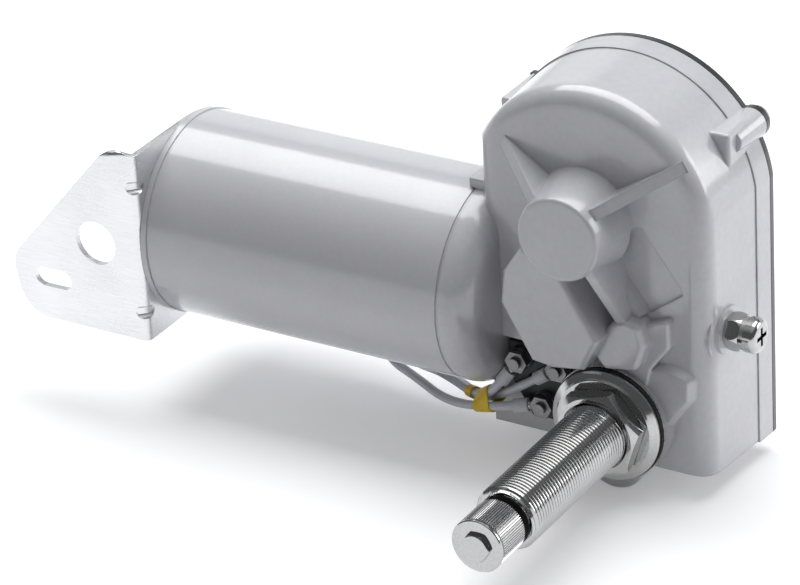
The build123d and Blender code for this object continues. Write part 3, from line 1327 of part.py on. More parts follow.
def main():
    os.makedirs("parts", exist_ok=True)
    parts = {
        "gear_housing": gear_housing(),
        "housing_gasket": housing_gasket(),
        "back_cover": back_cover(),
        "cover_screws": cover_screws(),
        "motor_can": motor_can(),
        "can_seal_ring": can_seal_ring(),
        "rear_end_cap": rear_end_cap(),
        "tie_bolts": tie_bolts(),
        "field_magnets": field_magnets(),
        "brush_holder": brush_holder(),
        "brush_boxes": brush_boxes(),
        "carbon_brushes": carbon_brushes(),
        "brush_springs": brush_springs(),
        "front_motor_bush": front_motor_bush(),
        "rear_motor_bush": rear_motor_bush(),
        "armature_shaft": armature_shaft(),
        "armature_core": armature_core(),
        "armature_windings": armature_windings(),
        "commutator": commutator(),
        "worm_end_bush": worm_end_bush(),
        "worm_wheel": worm_wheel(),
        "park_disc": park_disc(),
        "park_plate": park_plate(),
        "park_contacts": park_contacts(),
        "wheel_axle": wheel_axle(),
        "axle_washers": axle_washers(),
        "axle_clip": axle_clip(),
        "crank_pin": crank_pin(),
        "connecting_rod": connecting_rod(),
        "rod_bushes": rod_bushes(),
        "rocker_arm": rocker_arm(),
        "rocker_pin": rocker_pin(),
        "rod_clip": rod_clip(),
        "spindle_shaft": spindle_shaft(),
        "knurled_driver": knurled_driver(),
        "driver_cap_screw": driver_cap_screw(),
        "spindle_sleeve": spindle_sleeve(),
        "spindle_shim": spindle_shim(),
        "front_spindle_bush": front_spindle_bush(),
        "rear_spindle_bush": rear_spindle_bush(),
        "spindle_seal": spindle_seal(),
        "dished_washer": dished_washer(),
        "sleeve_nut": sleeve_nut(),
        "steel_washer": steel_washer(),
        "rubber_washers": rubber_washers(),
        "mounting_bracket": mounting_bracket(),
        "thrust_lock_nut": thrust_lock_nut(),
        "thrust_spring_washer": thrust_spring_washer(),
        "thrust_screw": thrust_screw(),
        "thrust_pad": thrust_pad(),
        "terminal_plate": terminal_plate(),
        "terminal_studs": terminal_studs(),
        "terminal_nuts": terminal_nuts(),
        "ring_lugs": ring_lugs(),
        "lug_tubes": lug_tubes(),
        "lead_one": lead(0),
        "lead_two": lead(1),
        "lead_three": lead(2),
        "lead_boot": lead_boot(),
        "marker_sleeves": marker_sleeves(),
    }
    for name, shape in parts.items():
        export_step(shape, f"parts/{name}.step")


main()
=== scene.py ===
# Boat wiper motor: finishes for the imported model, and the pieces that need finer work than its solids.
import json
import math

import bmesh
import bpy
from mathutils import Matrix, Vector


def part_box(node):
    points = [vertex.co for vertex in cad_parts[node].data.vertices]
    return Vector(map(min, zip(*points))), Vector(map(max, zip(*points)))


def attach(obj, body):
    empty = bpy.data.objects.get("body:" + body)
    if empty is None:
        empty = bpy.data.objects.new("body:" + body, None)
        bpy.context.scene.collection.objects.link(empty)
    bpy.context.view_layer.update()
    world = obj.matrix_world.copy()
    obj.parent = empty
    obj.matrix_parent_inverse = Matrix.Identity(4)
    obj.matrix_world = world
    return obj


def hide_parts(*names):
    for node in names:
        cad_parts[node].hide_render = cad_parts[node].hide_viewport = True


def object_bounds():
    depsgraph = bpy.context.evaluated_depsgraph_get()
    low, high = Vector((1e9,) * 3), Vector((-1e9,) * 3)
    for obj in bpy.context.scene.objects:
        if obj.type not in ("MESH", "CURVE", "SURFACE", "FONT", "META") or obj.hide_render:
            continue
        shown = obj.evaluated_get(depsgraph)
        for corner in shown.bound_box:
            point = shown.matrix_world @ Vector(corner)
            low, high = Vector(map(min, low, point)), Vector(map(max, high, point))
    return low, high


MM = 0.001
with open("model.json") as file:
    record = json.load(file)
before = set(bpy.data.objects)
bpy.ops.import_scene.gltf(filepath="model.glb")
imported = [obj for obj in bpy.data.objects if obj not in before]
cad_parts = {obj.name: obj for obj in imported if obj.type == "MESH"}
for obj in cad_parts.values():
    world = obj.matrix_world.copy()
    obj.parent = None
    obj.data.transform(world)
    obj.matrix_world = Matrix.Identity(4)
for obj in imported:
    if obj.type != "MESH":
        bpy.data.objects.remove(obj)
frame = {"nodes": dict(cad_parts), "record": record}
cad_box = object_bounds()

# The camera stands where the photograph was taken from.
CAMERA_AT = Vector((578.674, -1013.005, 670.483)) * MM
CAMERA_AZIMUTH = math.radians(32.4447)
CAMERA_HEIGHT = math.radians(27.7235)
CAMERA_ROLL = math.radians(-3.3368)
LENS = 192.4
SENSOR_WIDTH = 36
FAR_LIMIT = 20


def set_camera():
    """Set up the camera from its place, its two angles and its roll."""
    back = Vector((math.sin(CAMERA_AZIMUTH) * math.cos(CAMERA_HEIGHT),
                   -math.cos(CAMERA_AZIMUTH) * math.cos(CAMERA_HEIGHT),
                   math.sin(CAMERA_HEIGHT)))
    level = Vector((0, 0, 1)).cross(back).normalized()
    upright = back.cross(level)
    turn, lean = math.cos(CAMERA_ROLL), math.sin(CAMERA_ROLL)
    right = level * turn + upright * lean
    up = upright * turn - level * lean
    lens = bpy.data.cameras.new("camera")
    lens.lens = LENS
    lens.sensor_width = SENSOR_WIDTH
    lens.clip_end = FAR_LIMIT
    camera = bpy.data.objects.new("camera", lens)
    bpy.context.scene.collection.objects.link(camera)
    turned = Matrix((right, up, back)).transposed().to_4x4()
    camera.matrix_world = Matrix.Translation(CAMERA_AT) @ turned
    bpy.context.scene.camera = camera


set_camera()


# Leads: grey covered wire of three millimetres, from each terminal lug to the boot behind the motor
LEAD_DIAMETER = 3.0
LEAD_FACETS = 6
LEAD_STEPS = 16
LEAD_ROUTES = {
    "lead_one": ((-40.1, 21.0, 5.1), (-45.2, 18.8, -2.2), (-54.5, 24.3, -6.9), (-72.0, 36.4, -9.9),
                 (-96.4, 46.3, -11.9), (-105.6, 50.5, -2.2)),
    "lead_two": ((-27.5, 22.6, 7.2), (-43.7, 21.9, -4.0), (-53.9, 27.4, -9.2), (-71.5, 39.6, -12.0),
                 (-98.7, 48.5, -15.0), (-108.0, 52.6, -5.4)),
    "lead_three": ((-34.5, 20.5, -4.2), (-45.7, 17.0, -6.0), (-64.0, 22.3, -10.8), (-82.0, 33.0, -11.5),
                   (-99.7, 44.2, -14.1), (-108.9, 48.4, -4.4)),
}


def lead_curve(name, route):
    """One covered wire along its bend points."""
    curve = bpy.data.curves.new(name + "_wire", "CURVE")
    curve.dimensions = "3D"
    # The bevel is one unit deep, so each point's radius is the wire's own.
    curve.bevel_depth = 1.0
    curve.bevel_resolution = LEAD_FACETS
    curve.use_fill_caps = True
    line = curve.splines.new("NURBS")
    line.points.add(len(route) - 1)
    for point, place in zip(line.points, route):
        point.co = (*(Vector(place) * MM), 1)
        point.radius = LEAD_DIAMETER / 2 * MM
    line.order_u = 3
    line.use_endpoint_u = True
    line.resolution_u = LEAD_STEPS
    wire = bpy.data.objects.new(name + "_wire", curve)
    bpy.context.scene.collection.objects.link(wire)
    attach(wire, "housing")
    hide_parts(name)
    return wire


leads = [lead_curve(name, route) for name, route in LEAD_ROUTES.items()]


# Materials
def linear(code):
    """Turn an sRGB hex colour into the linear one that the shaders take."""
    parts = [int(code[i:i + 2], 16) / 255 for i in (1, 3, 5)]
    return tuple(c / 12.92 if c <= 0.04045 else ((c + 0.055) / 1.055) ** 2.4 for c in parts) + (1,)


def add(material, kind, inputs=None, **settings):
    """Add one node, set its fields, and fill or link its inputs."""
    node = material.node_tree.nodes.new(kind)
    for name, value in settings.items():
        setattr(node, name, value)
    for name, value in (inputs or {}).items():
        if isinstance(value, bpy.types.NodeSocket):
            material.node_tree.links.new(value, node.inputs[name])
        else:
            node.inputs[name].default_value = value
    return node


COAT_ROUGHNESS = 0.12
COAT_IOR = 1.6
# Every finish also drifts a little over patches of this width.
CLOUD_MM = 28
GRAIN_DETAIL = 3.0
GRAIN_ROUGHNESS = 0.55
CLOUD_DETAIL = 2.0
EDGE_SAMPLES = 6


def grain_material(name, light, dark, metallic, smooth, rough, grain_mm, bump_mm,
                   stretch=(1, 1, 1), coat=0.0, round_mm=0.25, spread=(0.35, 0.65)):
    """A surface whose colour, gloss and relief all follow one grain of a real size."""
    material = bpy.data.materials.new(name)
    material.use_nodes = True
    nodes = material.node_tree.nodes
    nodes.clear()
    place = add(material, "ShaderNodeTexCoord")
    sized = add(material, "ShaderNodeMapping", {"Vector": place.outputs["Object"], "Scale": stretch})
    grain = add(material, "ShaderNodeTexNoise",
                {"Vector": sized.outputs["Vector"], "Scale": 1 / (grain_mm * MM),
                 "Detail": GRAIN_DETAIL, "Roughness": GRAIN_ROUGHNESS})
    cloud = add(material, "ShaderNodeTexNoise",
                {"Vector": place.outputs["Object"], "Scale": 1 / (CLOUD_MM * MM),
                 "Detail": CLOUD_DETAIL})
    blend = add(material, "ShaderNodeMath",
                {0: grain.outputs["Fac"], 1: cloud.outputs["Fac"]}, operation="ADD")
    share = add(material, "ShaderNodeMapRange",
                {"Value": blend.outputs["Value"], "From Min": 2 * spread[0], "From Max": 2 * spread[1]})
    colour = add(material, "ShaderNodeMix",
                 {"Factor": share.outputs["Result"], "A": linear(dark), "B": linear(light)},
                 data_type="RGBA")
    gloss = add(material, "ShaderNodeMapRange",
                {"Value": share.outputs["Result"], "To Min": rough, "To Max": smooth})
    edge = add(material, "ShaderNodeBevel", {"Radius": round_mm * MM}, samples=EDGE_SAMPLES)
    relief = add(material, "ShaderNodeBump",
                 {"Height": grain.outputs["Fac"], "Distance": bump_mm * MM, "Strength": 1.0,
                  "Normal": edge.outputs["Normal"]})
    surface = add(material, "ShaderNodeBsdfPrincipled",
                  {"Base Color": colour.outputs["Result"], "Metallic": metallic,
                   "Roughness": gloss.outputs["Result"], "Normal": relief.outputs["Normal"],
                   "Coat Weight": coat, "Coat Roughness": COAT_ROUGHNESS, "Coat IOR": COAT_IOR})
    add(material, "ShaderNodeOutputMaterial", {"Surface": surface.outputs["BSDF"]})
    return material


# Stove enamel sprayed on cast and drawn metal: pale cool grey, satin, with a very faint orange peel.
enamel = grain_material("stove_enamel", "#c3c3c7", "#bdbdc2", 0.0, 0.3, 0.36, 1.6, 0.012, coat=1.0,
                        round_mm=0.6)
# The same enamel on the casting, which is rounder at its edges and a little uneven.
cast_enamel = grain_material("enamelled_casting", "#c4c4c8", "#bbbbc0", 0.0, 0.3, 0.4, 2.2, 0.03,
                             coat=1.0, round_mm=1.3)
# Black enamel on the cover plate, whose edge is the dark line behind the casting.
black_enamel = grain_material("black_enamel", "#2a2a2c", "#222224", 0.0, 0.3, 0.4, 1.2, 0.008, coat=0.5,
                              round_mm=0.4)
# Bright zinc on rolled sheet: cool, with the rolling lines showing as faint streaks.
zinc_sheet = grain_material("zinc_sheet", "#ececed", "#dfe0e2", 1.0, 0.22, 0.3, 0.5, 0.002,
                            stretch=(0.06, 1, 1), round_mm=0.3)
# Nickel plate on turned steel: neutral and nearly mirror-like.
nickel = grain_material("nickel_plate", "#c6c6c5", "#b4b4b4", 1.0, 0.07, 0.13, 0.7, 0.002,
                        stretch=(1, 0.1, 1), round_mm=0.08)
# Plain ground steel of shafts, pins and springs.
ground_steel = grain_material("ground_steel", "#c9c8c6", "#b4b2af", 1.0, 0.22, 0.34, 0.5, 0.003,
                              round_mm=0.15)
# Zinc-plated screws and nuts, whose tone drifts a little between brighter and duller patches.
plated_steel = grain_material("plated_steel", "#cfcecb", "#b2b0ab", 1.0, 0.22, 0.34, 0.8, 0.003,
                              round_mm=0.2)
# Zinc plate on the terminal nuts and studs, coloured dark grey as painted shade for the shadow they sit
# in.
painted_shade_zinc = grain_material("painted_shade_zinc", "#8f8f90", "#6c6c6e", 1.0, 0.34, 0.5, 0.6, 0.01, round_mm=0.2)
# Lamination steel and magnets under a thin dark varnish.
dark_iron = grain_material("varnished_iron", "#4a4a4c", "#333335", 0.7, 0.4, 0.55, 1.0, 0.01)
# Nitrile rubber, moulded: near black and dull.
rubber = grain_material("nitrile_rubber", "#1c1c1d", "#141415", 0.0, 0.5, 0.65, 0.6, 0.008)
# Glass-filled nylon, moulded black, with a dry fine texture.
black_nylon = grain_material("black_nylon", "#222325", "#1a1b1c", 0.0, 0.42, 0.55, 0.5, 0.01)
# Soft PVC on the leads: pale grey, smooth, faintly glossy.
lead_cover = grain_material("grey_pvc", "#cfd1d8", "#c4c6ce", 0.0, 0.34, 0.42, 2.5, 0.01, coat=0.1)
# Heat-shrink tube over the lugs: a shade greyer than the leads.
lug_cover = grain_material("shrink_tube", "#d2d3d6", "#c2c3c8", 0.0, 0.4, 0.5, 1.5, 0.02)
# Yellow PVC marker sleeving.
yellow_pvc = grain_material("yellow_pvc", "#ecc92b", "#e3bb1a", 0.0, 0.4, 0.5, 1.5, 0.01)
# Sintered bronze: brownish, with fine pores.
bronze = grain_material("sintered_bronze", "#b08a56", "#8f6c40", 1.0, 0.35, 0.5, 0.4, 0.01)
# Enamelled copper wire, laid side by side.
copper = grain_material("winding_copper", "#b5683a", "#9a5028", 0.9, 0.3, 0.42, 0.6, 0.05,
                        stretch=(0.1, 1, 1))
# Rolled spring brass.
brass = grain_material("spring_brass", "#cfae62", "#bb9a50", 1.0, 0.25, 0.38, 0.6, 0.003)
# Pressed carbon of the brushes.
carbon = grain_material("pressed_carbon", "#2c2c2e", "#1f1f21", 0.2, 0.5, 0.62, 0.4, 0.01)
# Cast nylon of the wheel, ivory and slightly waxy.
ivory_nylon = grain_material("cast_nylon", "#e4dcc6", "#dcd2b8", 0.0, 0.38, 0.48, 1.2, 0.008)

FINISH_OF_SLOT = {
    "silver_paint": enamel, "black_paint": black_enamel, "polished_steel": nickel,
    "zinc_plate": plated_steel, "plain_steel": ground_steel, "dark_iron": dark_iron,
    "black_rubber": rubber, "black_moulding": black_nylon, "grey_insulation": lead_cover,
    "grey_sleeve": lug_cover, "yellow_sleeve": yellow_pvc, "bronze": bronze, "copper": copper,
    "spring_brass": brass, "carbon": carbon, "ivory_nylon": ivory_nylon,
}
slot_of_node = {row["node"]: row["material_slot"] for row in frame["record"]["subparts"]}
# Nodes whose surface differs from the rest of their slot; the terminal nuts and studs carry painted
# shade.
OWN_FINISH = {"gear_housing": cast_enamel, "mounting_bracket": zinc_sheet, "terminal_nuts": painted_shade_zinc,
              "terminal_studs": painted_shade_zinc}
body_of_node = {node: body for body, nodes in frame["record"]["behaviour"]["bodies"].items()
                for node in nodes}
for name, piece in frame["nodes"].items():
    finish = OWN_FINISH.get(name, FINISH_OF_SLOT[slot_of_node[name]])
    piece.data.materials.clear()
    piece.data.materials.append(finish)

for wire in leads:
    wire.data.materials.append(lead_cover)


# Pieces with work finer than their solids
MERGE_MM = 0.002
SHEET_MERGE_MM = 0.001
SHARP_ANGLE = math.radians(32)


def piece_from(shape, name, node, finish):
    """Turn a finished bmesh into the piece that stands for a CAD node."""
    bmesh.ops.remove_doubles(shape, verts=shape.verts, dist=MERGE_MM * MM)
    bmesh.ops.recalc_face_normals(shape, faces=shape.faces)
    for face in shape.faces:
        face.smooth = True
    data = bpy.data.meshes.new(name)
    shape.to_mesh(data)
    shape.free()
    data.set_sharp_from_angle(angle=SHARP_ANGLE)
    data.materials.append(finish)
    piece = bpy.data.objects.new(name, data)
    bpy.context.scene.collection.objects.link(piece)
    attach(piece, body_of_node[node])
    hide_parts(node)
    return piece


def turn_profile(shape, profile, steps):
    """Turn a closed profile of radius and place pairs about the spindle's axis."""
    corners = [shape.verts.new((radius * MM, along * MM, 0)) for radius, along in profile]
    sides = [shape.edges.new((a, b)) for a, b in zip(corners, corners[1:] + corners[:1])]
    bmesh.ops.spin(shape, geom=corners + sides, cent=(0, 0, 0), axis=(0, 1, 0),
                   angle=2 * math.pi, steps=steps, use_merge=True)


# Threaded sleeve: M22 with a pitch of 1.5, turned down behind the nut and coned at its free end
SLEEVE_CREST_R = 11.0
SLEEVE_ROOT_R = 10.15
SLEEVE_SHANK_R = 10.5
SLEEVE_BORE_R = 8.0
SLEEVE_PITCH = 1.5
SLEEVE_FRONT_Y = -51.0
SLEEVE_SHOULDER_Y = 6.2
SLEEVE_BACK_Y = 36.0
SLEEVE_RIM_R = 9.9
SLEEVE_CONE = 1.8
SLEEVE_MOUTH_CHAMFER = 0.8
SLEEVE_STEPS = 96
# The tube under the thread is this much wider than the rim, just inside the thread's roots.
CORE_STEP = 0.1
CORE_START = 0.3
THREAD_STEPS = 48
THREAD_LEAD_IN = 1.2
# One pitch of the thread: radius, and how far along the pitch
THREAD_FORM = ((SLEEVE_ROOT_R, 0.0), (SLEEVE_ROOT_R, 0.16), (SLEEVE_CREST_R, 0.46),
               (SLEEVE_CREST_R, 0.7), (SLEEVE_ROOT_R, 1.0))


def wind_thread(shape):
    """Wind one V thread from end to end, cut off flat at the ends and along the cone."""
    start = SLEEVE_FRONT_Y - THREAD_LEAD_IN * SLEEVE_PITCH
    turns = math.ceil((SLEEVE_SHOULDER_Y - start) / SLEEVE_PITCH)
    corners = [shape.verts.new((radius * MM, (start + share * SLEEVE_PITCH) * MM, 0))
               for radius, share in THREAD_FORM]
    sides = [shape.edges.new(pair) for pair in zip(corners, corners[1:])]
    bmesh.ops.spin(shape, geom=corners + sides, cent=(0, 0, 0), axis=(0, 1, 0),
                   dvec=(0, SLEEVE_PITCH / THREAD_STEPS * MM, 0), angle=2 * math.pi * turns,
                   steps=THREAD_STEPS * turns)
    cone_rise = SLEEVE_CREST_R - SLEEVE_RIM_R
    for corner in shape.verts:
        along = min(max(corner.co.y / MM, SLEEVE_FRONT_Y), SLEEVE_SHOULDER_Y)
        limit = SLEEVE_RIM_R + max(0.0, along - SLEEVE_FRONT_Y) * cone_rise / SLEEVE_CONE
        radius = math.hypot(corner.co.x, corner.co.z) / MM
        shrink = min(1.0, limit / radius)
        corner.co = (corner.co.x * shrink, along * MM, corner.co.z * shrink)


sleeve_shape = bmesh.new()
wind_thread(sleeve_shape)
turn_profile(sleeve_shape,
             [(SLEEVE_BORE_R, SLEEVE_BACK_Y),
              (SLEEVE_BORE_R, SLEEVE_FRONT_Y + SLEEVE_MOUTH_CHAMFER),
              (SLEEVE_BORE_R + SLEEVE_MOUTH_CHAMFER, SLEEVE_FRONT_Y),
              (SLEEVE_RIM_R, SLEEVE_FRONT_Y),
              (SLEEVE_RIM_R + CORE_STEP, SLEEVE_FRONT_Y + CORE_START),
              (SLEEVE_RIM_R + CORE_STEP, SLEEVE_SHOULDER_Y),
              (SLEEVE_SHANK_R, SLEEVE_SHOULDER_Y),
              (SLEEVE_SHANK_R, SLEEVE_BACK_Y)], SLEEVE_STEPS)
piece_from(sleeve_shape, "threaded_sleeve", "spindle_sleeve", nickel)

# Wiper-arm driver: straight knurl of 72 teeth behind a plain lip
DRIVER_R = 8.9
DRIVER_FRONT_Y = -68.0
DRIVER_BACK_Y = -53.4
DRIVER_CHAMFER = 0.3
LIP_WIDTH = 0.9
LIP_FLARE = 0.1
GROOVE_DEPTH = 0.7
GROOVE_FLARE = 0.2
BACK_CHAMFER = 0.6
HUB_INSET = 1.6
HUB_LENGTH = 1.4
SPINDLE_R = 6.0
CAP_SHANK_R = 2.5
FACE_THICKNESS = 0.6
KNURL_TEETH = 72
KNURL_COLUMNS = 3
KNURL_DEPTH = 0.45
KNURL_FRONT_Y = -66.4
KNURL_BACK_Y = -53.9
# A corner counts as on the knurl's end or wall when it is this near.
END_SLACK = 0.01
WALL_SLACK = 0.1


def cut_knurl(shape):
    """Pull every third column of the driver's wall in to the root of the knurl."""
    for corner in shape.verts:
        radius = math.hypot(corner.co.x, corner.co.z) / MM
        share = math.atan2(corner.co.z, corner.co.x) / (2 * math.pi)
        column = round(share * KNURL_COLUMNS * KNURL_TEETH)
        inside = KNURL_FRONT_Y - END_SLACK < corner.co.y / MM < KNURL_BACK_Y + END_SLACK
        if inside and radius > DRIVER_R - WALL_SLACK and column % KNURL_COLUMNS == 0:
            shrink = (DRIVER_R - KNURL_DEPTH) / radius
            corner.co.x *= shrink
            corner.co.z *= shrink


driver_shape = bmesh.new()
turn_profile(driver_shape,
             [(CAP_SHANK_R, DRIVER_FRONT_Y),
              (DRIVER_R - DRIVER_CHAMFER, DRIVER_FRONT_Y),
              (DRIVER_R, DRIVER_FRONT_Y + DRIVER_CHAMFER),
              (DRIVER_R, DRIVER_FRONT_Y + LIP_WIDTH),
              (DRIVER_R - GROOVE_DEPTH, DRIVER_FRONT_Y + LIP_WIDTH + LIP_FLARE),
              (DRIVER_R - GROOVE_DEPTH, KNURL_FRONT_Y - GROOVE_FLARE),
              (DRIVER_R, KNURL_FRONT_Y),
              (DRIVER_R, KNURL_BACK_Y),
              (DRIVER_R - BACK_CHAMFER, DRIVER_BACK_Y),
              (DRIVER_R - HUB_INSET, DRIVER_BACK_Y),
              (DRIVER_R - HUB_INSET, DRIVER_BACK_Y + HUB_LENGTH),
              (SPINDLE_R, DRIVER_BACK_Y + HUB_LENGTH),
              (SPINDLE_R, DRIVER_FRONT_Y + FACE_THICKNESS),
              (CAP_SHANK_R, DRIVER_FRONT_Y + FACE_THICKNESS)], KNURL_COLUMNS * KNURL_TEETH)
cut_knurl(driver_shape)
piece_from(driver_shape, "driver_knurl", "knurled_driver", nickel)

# Mounting bracket: two stiffeners pressed into its bend from outside
DENT_HEIGHTS = (9.0, 55.0)
DENT_R = 2.3
DENT_SET_IN = 0.9
DENT_LENGTH = 16.0
DENT_FACETS = 40


def press_dents():
    """Cut the two hollows across the bend of a merged copy of the bracket."""
    sheet = bmesh.new()
    sheet.from_mesh(frame["nodes"]["mounting_bracket"].data)
    bmesh.ops.remove_doubles(sheet, verts=sheet.verts, dist=SHEET_MERGE_MM * MM)
    blank_data = bpy.data.meshes.new("bracket_blank")
    sheet.to_mesh(blank_data)
    sheet.free()
    punch = bmesh.new()
    corner_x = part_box("mounting_bracket")[1][0]
    inward = DENT_SET_IN / math.sqrt(2) * MM
    lean = Vector((1, 1, 0)).to_track_quat("Z", "Y").to_matrix().to_4x4()
    for height in DENT_HEIGHTS:
        middle = Vector((corner_x - inward, inward, height * MM))
        bmesh.ops.create_cone(punch, cap_ends=True, segments=DENT_FACETS, radius1=DENT_R * MM,
                              radius2=DENT_R * MM, depth=DENT_LENGTH * MM,
                              matrix=Matrix.Translation(middle) @ lean)
    punch_data = bpy.data.meshes.new("bracket_punch")
    punch.to_mesh(punch_data)
    punch.free()
    blank = bpy.data.objects.new("bracket_blank", blank_data)
    tool = bpy.data.objects.new("bracket_punch", punch_data)
    for spare in (blank, tool):
        bpy.context.scene.collection.objects.link(spare)
    cut = blank.modifiers.new("press", "BOOLEAN")
    cut.operation = "DIFFERENCE"
    cut.solver = "EXACT"
    cut.object = tool
    ready = blank.evaluated_get(bpy.context.evaluated_depsgraph_get())
    pressed = bmesh.new()
    pressed.from_mesh(ready.to_mesh())
    ready.to_mesh_clear()
    for spare in (blank, tool):
        bpy.data.objects.remove(spare)
    return pressed


bracket = piece_from(press_dents(), "pressed_bracket", "mounting_bracket", zinc_sheet)
flat = bracket.modifiers.new("flat_faces", "WEIGHTED_NORMAL")
flat.keep_sharp = True

# Marker sleeves: blank yellow bands drawn tightly round the leads
BAND_CLEARANCE = 0.1
BAND_WALL = 0.5
BAND_RINGS = 4
BAND_FACETS = 16
# A face that looks along the band more than this closes its end.
END_FACING = 0.8
# Each band: how many leads it holds, where it starts, its direction and its length
BANDS = ((3, (-44.6, 19.1, -4.0), (-0.849, 0.393, -0.354), 5.6),
         (2, (-53.4, 24.4, -7.2), (-0.815, 0.564, -0.135), 4.2))


def wire_line(wire):
    """Read the points along one lead's own line."""
    bare = wire.data.copy()
    bare.bevel_depth = 0
    stand_in = bpy.data.objects.new("line", bare)
    line = bpy.data.meshes.new_from_object(stand_in)
    points = [corner.co.copy() for corner in line.vertices]
    bpy.data.meshes.remove(line)
    bpy.data.objects.remove(stand_in)
    bpy.data.curves.remove(bare)
    return points


def crossing(points, origin, along):
    """Where one lead passes through a plane."""
    for near, far in zip(points, points[1:]):
        before, after = (near - origin).dot(along), (far - origin).dot(along)
        if before <= 0 < after:
            return near.lerp(far, before / (before - after))
    return None


def wrap_band(shape, wires, origin, along, length):
    """Wrap one band round the leads, from its near end to its far end."""
    origin, along = Vector(origin) * MM, Vector(along).normalized()
    turn = along.to_track_quat("Z", "Y").to_matrix().to_4x4()
    band = bmesh.new()
    for step in range(BAND_RINGS):
        place = origin + along * (length * MM * step / (BAND_RINGS - 1))
        for wire in wires:
            middle = crossing(wire_line(wire), place, along)
            bmesh.ops.create_circle(band, segments=BAND_FACETS,
                                    radius=(LEAD_DIAMETER / 2 + BAND_CLEARANCE) * MM,
                                    matrix=Matrix.Translation(middle) @ turn)
    hull = bmesh.ops.convex_hull(band, input=band.verts)
    loose = [part for part in hull["geom_interior"] + hull["geom_unused"]
             if isinstance(part, bmesh.types.BMVert)]
    bmesh.ops.delete(band, geom=loose, context="VERTS")
    band.normal_update()
    ends = [face for face in band.faces if abs(face.normal.dot(along)) > END_FACING]
    bmesh.ops.delete(band, geom=ends, context="FACES")
    bmesh.ops.solidify(band, geom=band.faces[:], thickness=-BAND_WALL * MM)
    spare = bpy.data.meshes.new("band")
    band.to_mesh(spare)
    band.free()
    shape.from_mesh(spare)
    bpy.data.meshes.remove(spare)


bands = bmesh.new()
for held, start, along, length in BANDS:
    wrap_band(bands, leads[:held], start, along, length)
piece_from(bands, "marker_bands", "marker_sleeves", yellow_pvc)

# Floor and light; the floor's half width and its gap under the object are in metres
FLOOR_HALF = 6
FLOOR_GAP = 0.0002
PAPER_GLOW = 0.25
WALL_LIGHT = 0.13
CEILING_LIGHT = 0.6
BACKDROP_LIGHT = 0.75
# Parts of a direction between which the studio's light changes, from wall to ceiling, from the
# sides to the backdrop, and from above the backdrop to the backdrop
CEILING_RISE = (0.5, 1.0)
BACKDROP_SIDES = (0.3, 0.7)
BACKDROP_TOP = (0.54, 0.46)
floor_mesh = bmesh.new()
bmesh.ops.create_grid(floor_mesh, x_segments=1, y_segments=1, size=FLOOR_HALF)
floor_data = bpy.data.meshes.new("floor")
floor_mesh.to_mesh(floor_data)
floor_mesh.free()
floor = bpy.data.objects.new("floor", floor_data)
floor.location.z = cad_box[0][2] - FLOOR_GAP
bpy.context.scene.collection.objects.link(floor)
# Seamless white paper, lit a little more for the camera and for reflections than for the object.
paper = bpy.data.materials.new("white_paper")
paper.use_nodes = True
paper.node_tree.nodes.clear()
rays = add(paper, "ShaderNodeLightPath")
seen = add(paper, "ShaderNodeMath",
           {0: rays.outputs["Is Camera Ray"], 1: rays.outputs["Is Glossy Ray"]}, operation="MAXIMUM")
seen = add(paper, "ShaderNodeMath",
           {0: seen.outputs["Value"], 1: rays.outputs["Is Transmission Ray"]}, operation="MAXIMUM")
lift = add(paper, "ShaderNodeMath", {0: seen.outputs["Value"], 1: PAPER_GLOW},
           operation="MULTIPLY")
matt = add(paper, "ShaderNodeBsdfDiffuse", {"Color": linear("#f2f2f4")})
glow = add(paper, "ShaderNodeEmission", {"Color": (1, 1, 1, 1), "Strength": lift.outputs["Value"]})
both = add(paper, "ShaderNodeAddShader", {0: matt.outputs["BSDF"], 1: glow.outputs["Emission"]})
add(paper, "ShaderNodeOutputMaterial", {"Surface": both.outputs["Shader"]})
floor.data.materials.append(paper)

world = bpy.data.worlds.new("studio")
bpy.context.scene.world = world
world.use_nodes = True
world.node_tree.nodes.clear()
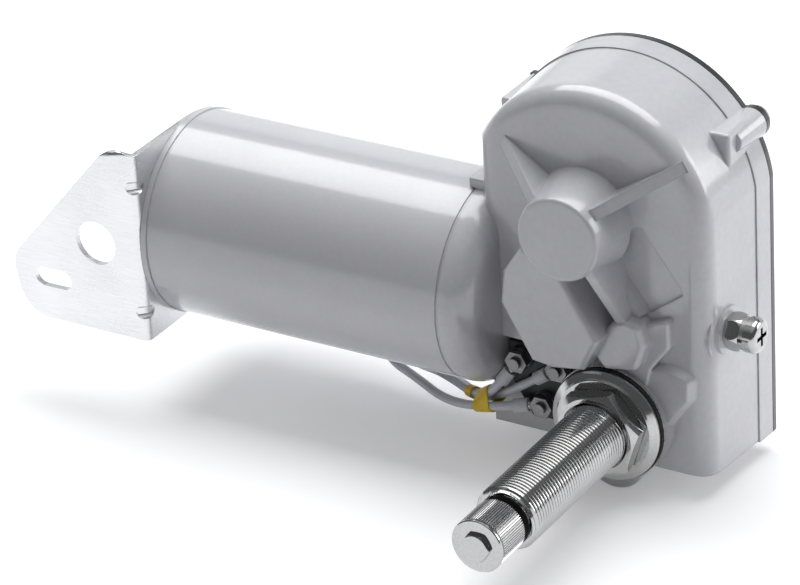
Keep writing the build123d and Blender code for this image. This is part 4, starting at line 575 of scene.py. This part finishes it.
# A studio whose ceiling is bright and whose walls are dim, so that metal has something to mirror
direction = add(world, "ShaderNodeTexCoord")
height = add(world, "ShaderNodeSeparateXYZ", {"Vector": direction.outputs["Generated"]})
level = add(world, "ShaderNodeMapRange",
            {"Value": height.outputs["Z"], "From Min": CEILING_RISE[0], "From Max": CEILING_RISE[1],
             "To Min": WALL_LIGHT, "To Max": CEILING_LIGHT}, interpolation_type="SMOOTHSTEP")
# A white backdrop stands low behind the object
behind = add(world, "ShaderNodeMapRange",
             {"Value": height.outputs["Y"], "From Min": BACKDROP_SIDES[0],
              "From Max": BACKDROP_SIDES[1], "To Max": BACKDROP_LIGHT},
             interpolation_type="SMOOTHSTEP")
low = add(world, "ShaderNodeMapRange",
          {"Value": height.outputs["Z"], "From Min": BACKDROP_TOP[0],
           "From Max": BACKDROP_TOP[1], "To Min": 0.0, "To Max": 1.0},
          interpolation_type="SMOOTHSTEP")
backdrop = add(world, "ShaderNodeMath", {0: behind.outputs["Result"], 1: low.outputs["Result"]},
               operation="MULTIPLY")
level = add(world, "ShaderNodeMath", {0: level.outputs["Result"], 1: backdrop.outputs["Value"]},
            operation="ADD")
sky = add(world, "ShaderNodeBackground",
          {"Color": linear("#f4f5f8"), "Strength": level.outputs["Value"]})
add(world, "ShaderNodeOutputWorld", {"Surface": sky.outputs["Background"]})


def softbox(name, at, aim, width, height, power):
    """A large soft lamp at one place, aimed at another, both in millimetres."""
    lamp = bpy.data.lights.new(name, "AREA")
    lamp.shape = "RECTANGLE"
    lamp.size = width * MM
    lamp.size_y = height * MM
    lamp.energy = power
    stand = bpy.data.objects.new(name, lamp)
    start, end = Vector(at) * MM, Vector(aim) * MM
    aimed = (start - end).to_track_quat("Z", "Y").to_matrix().to_4x4()
    stand.matrix_world = Matrix.Translation(start) @ aimed
    bpy.context.scene.collection.objects.link(stand)


softbox("top", at=(-200, 295, 900), aim=(-200, 295, 0), width=1300, height=690, power=10.0)
softbox("side", at=(760, 560, 330), aim=(0, 30, 40), width=420, height=500, power=2.4)

bpy.context.scene.view_settings.view_transform = "Standard"
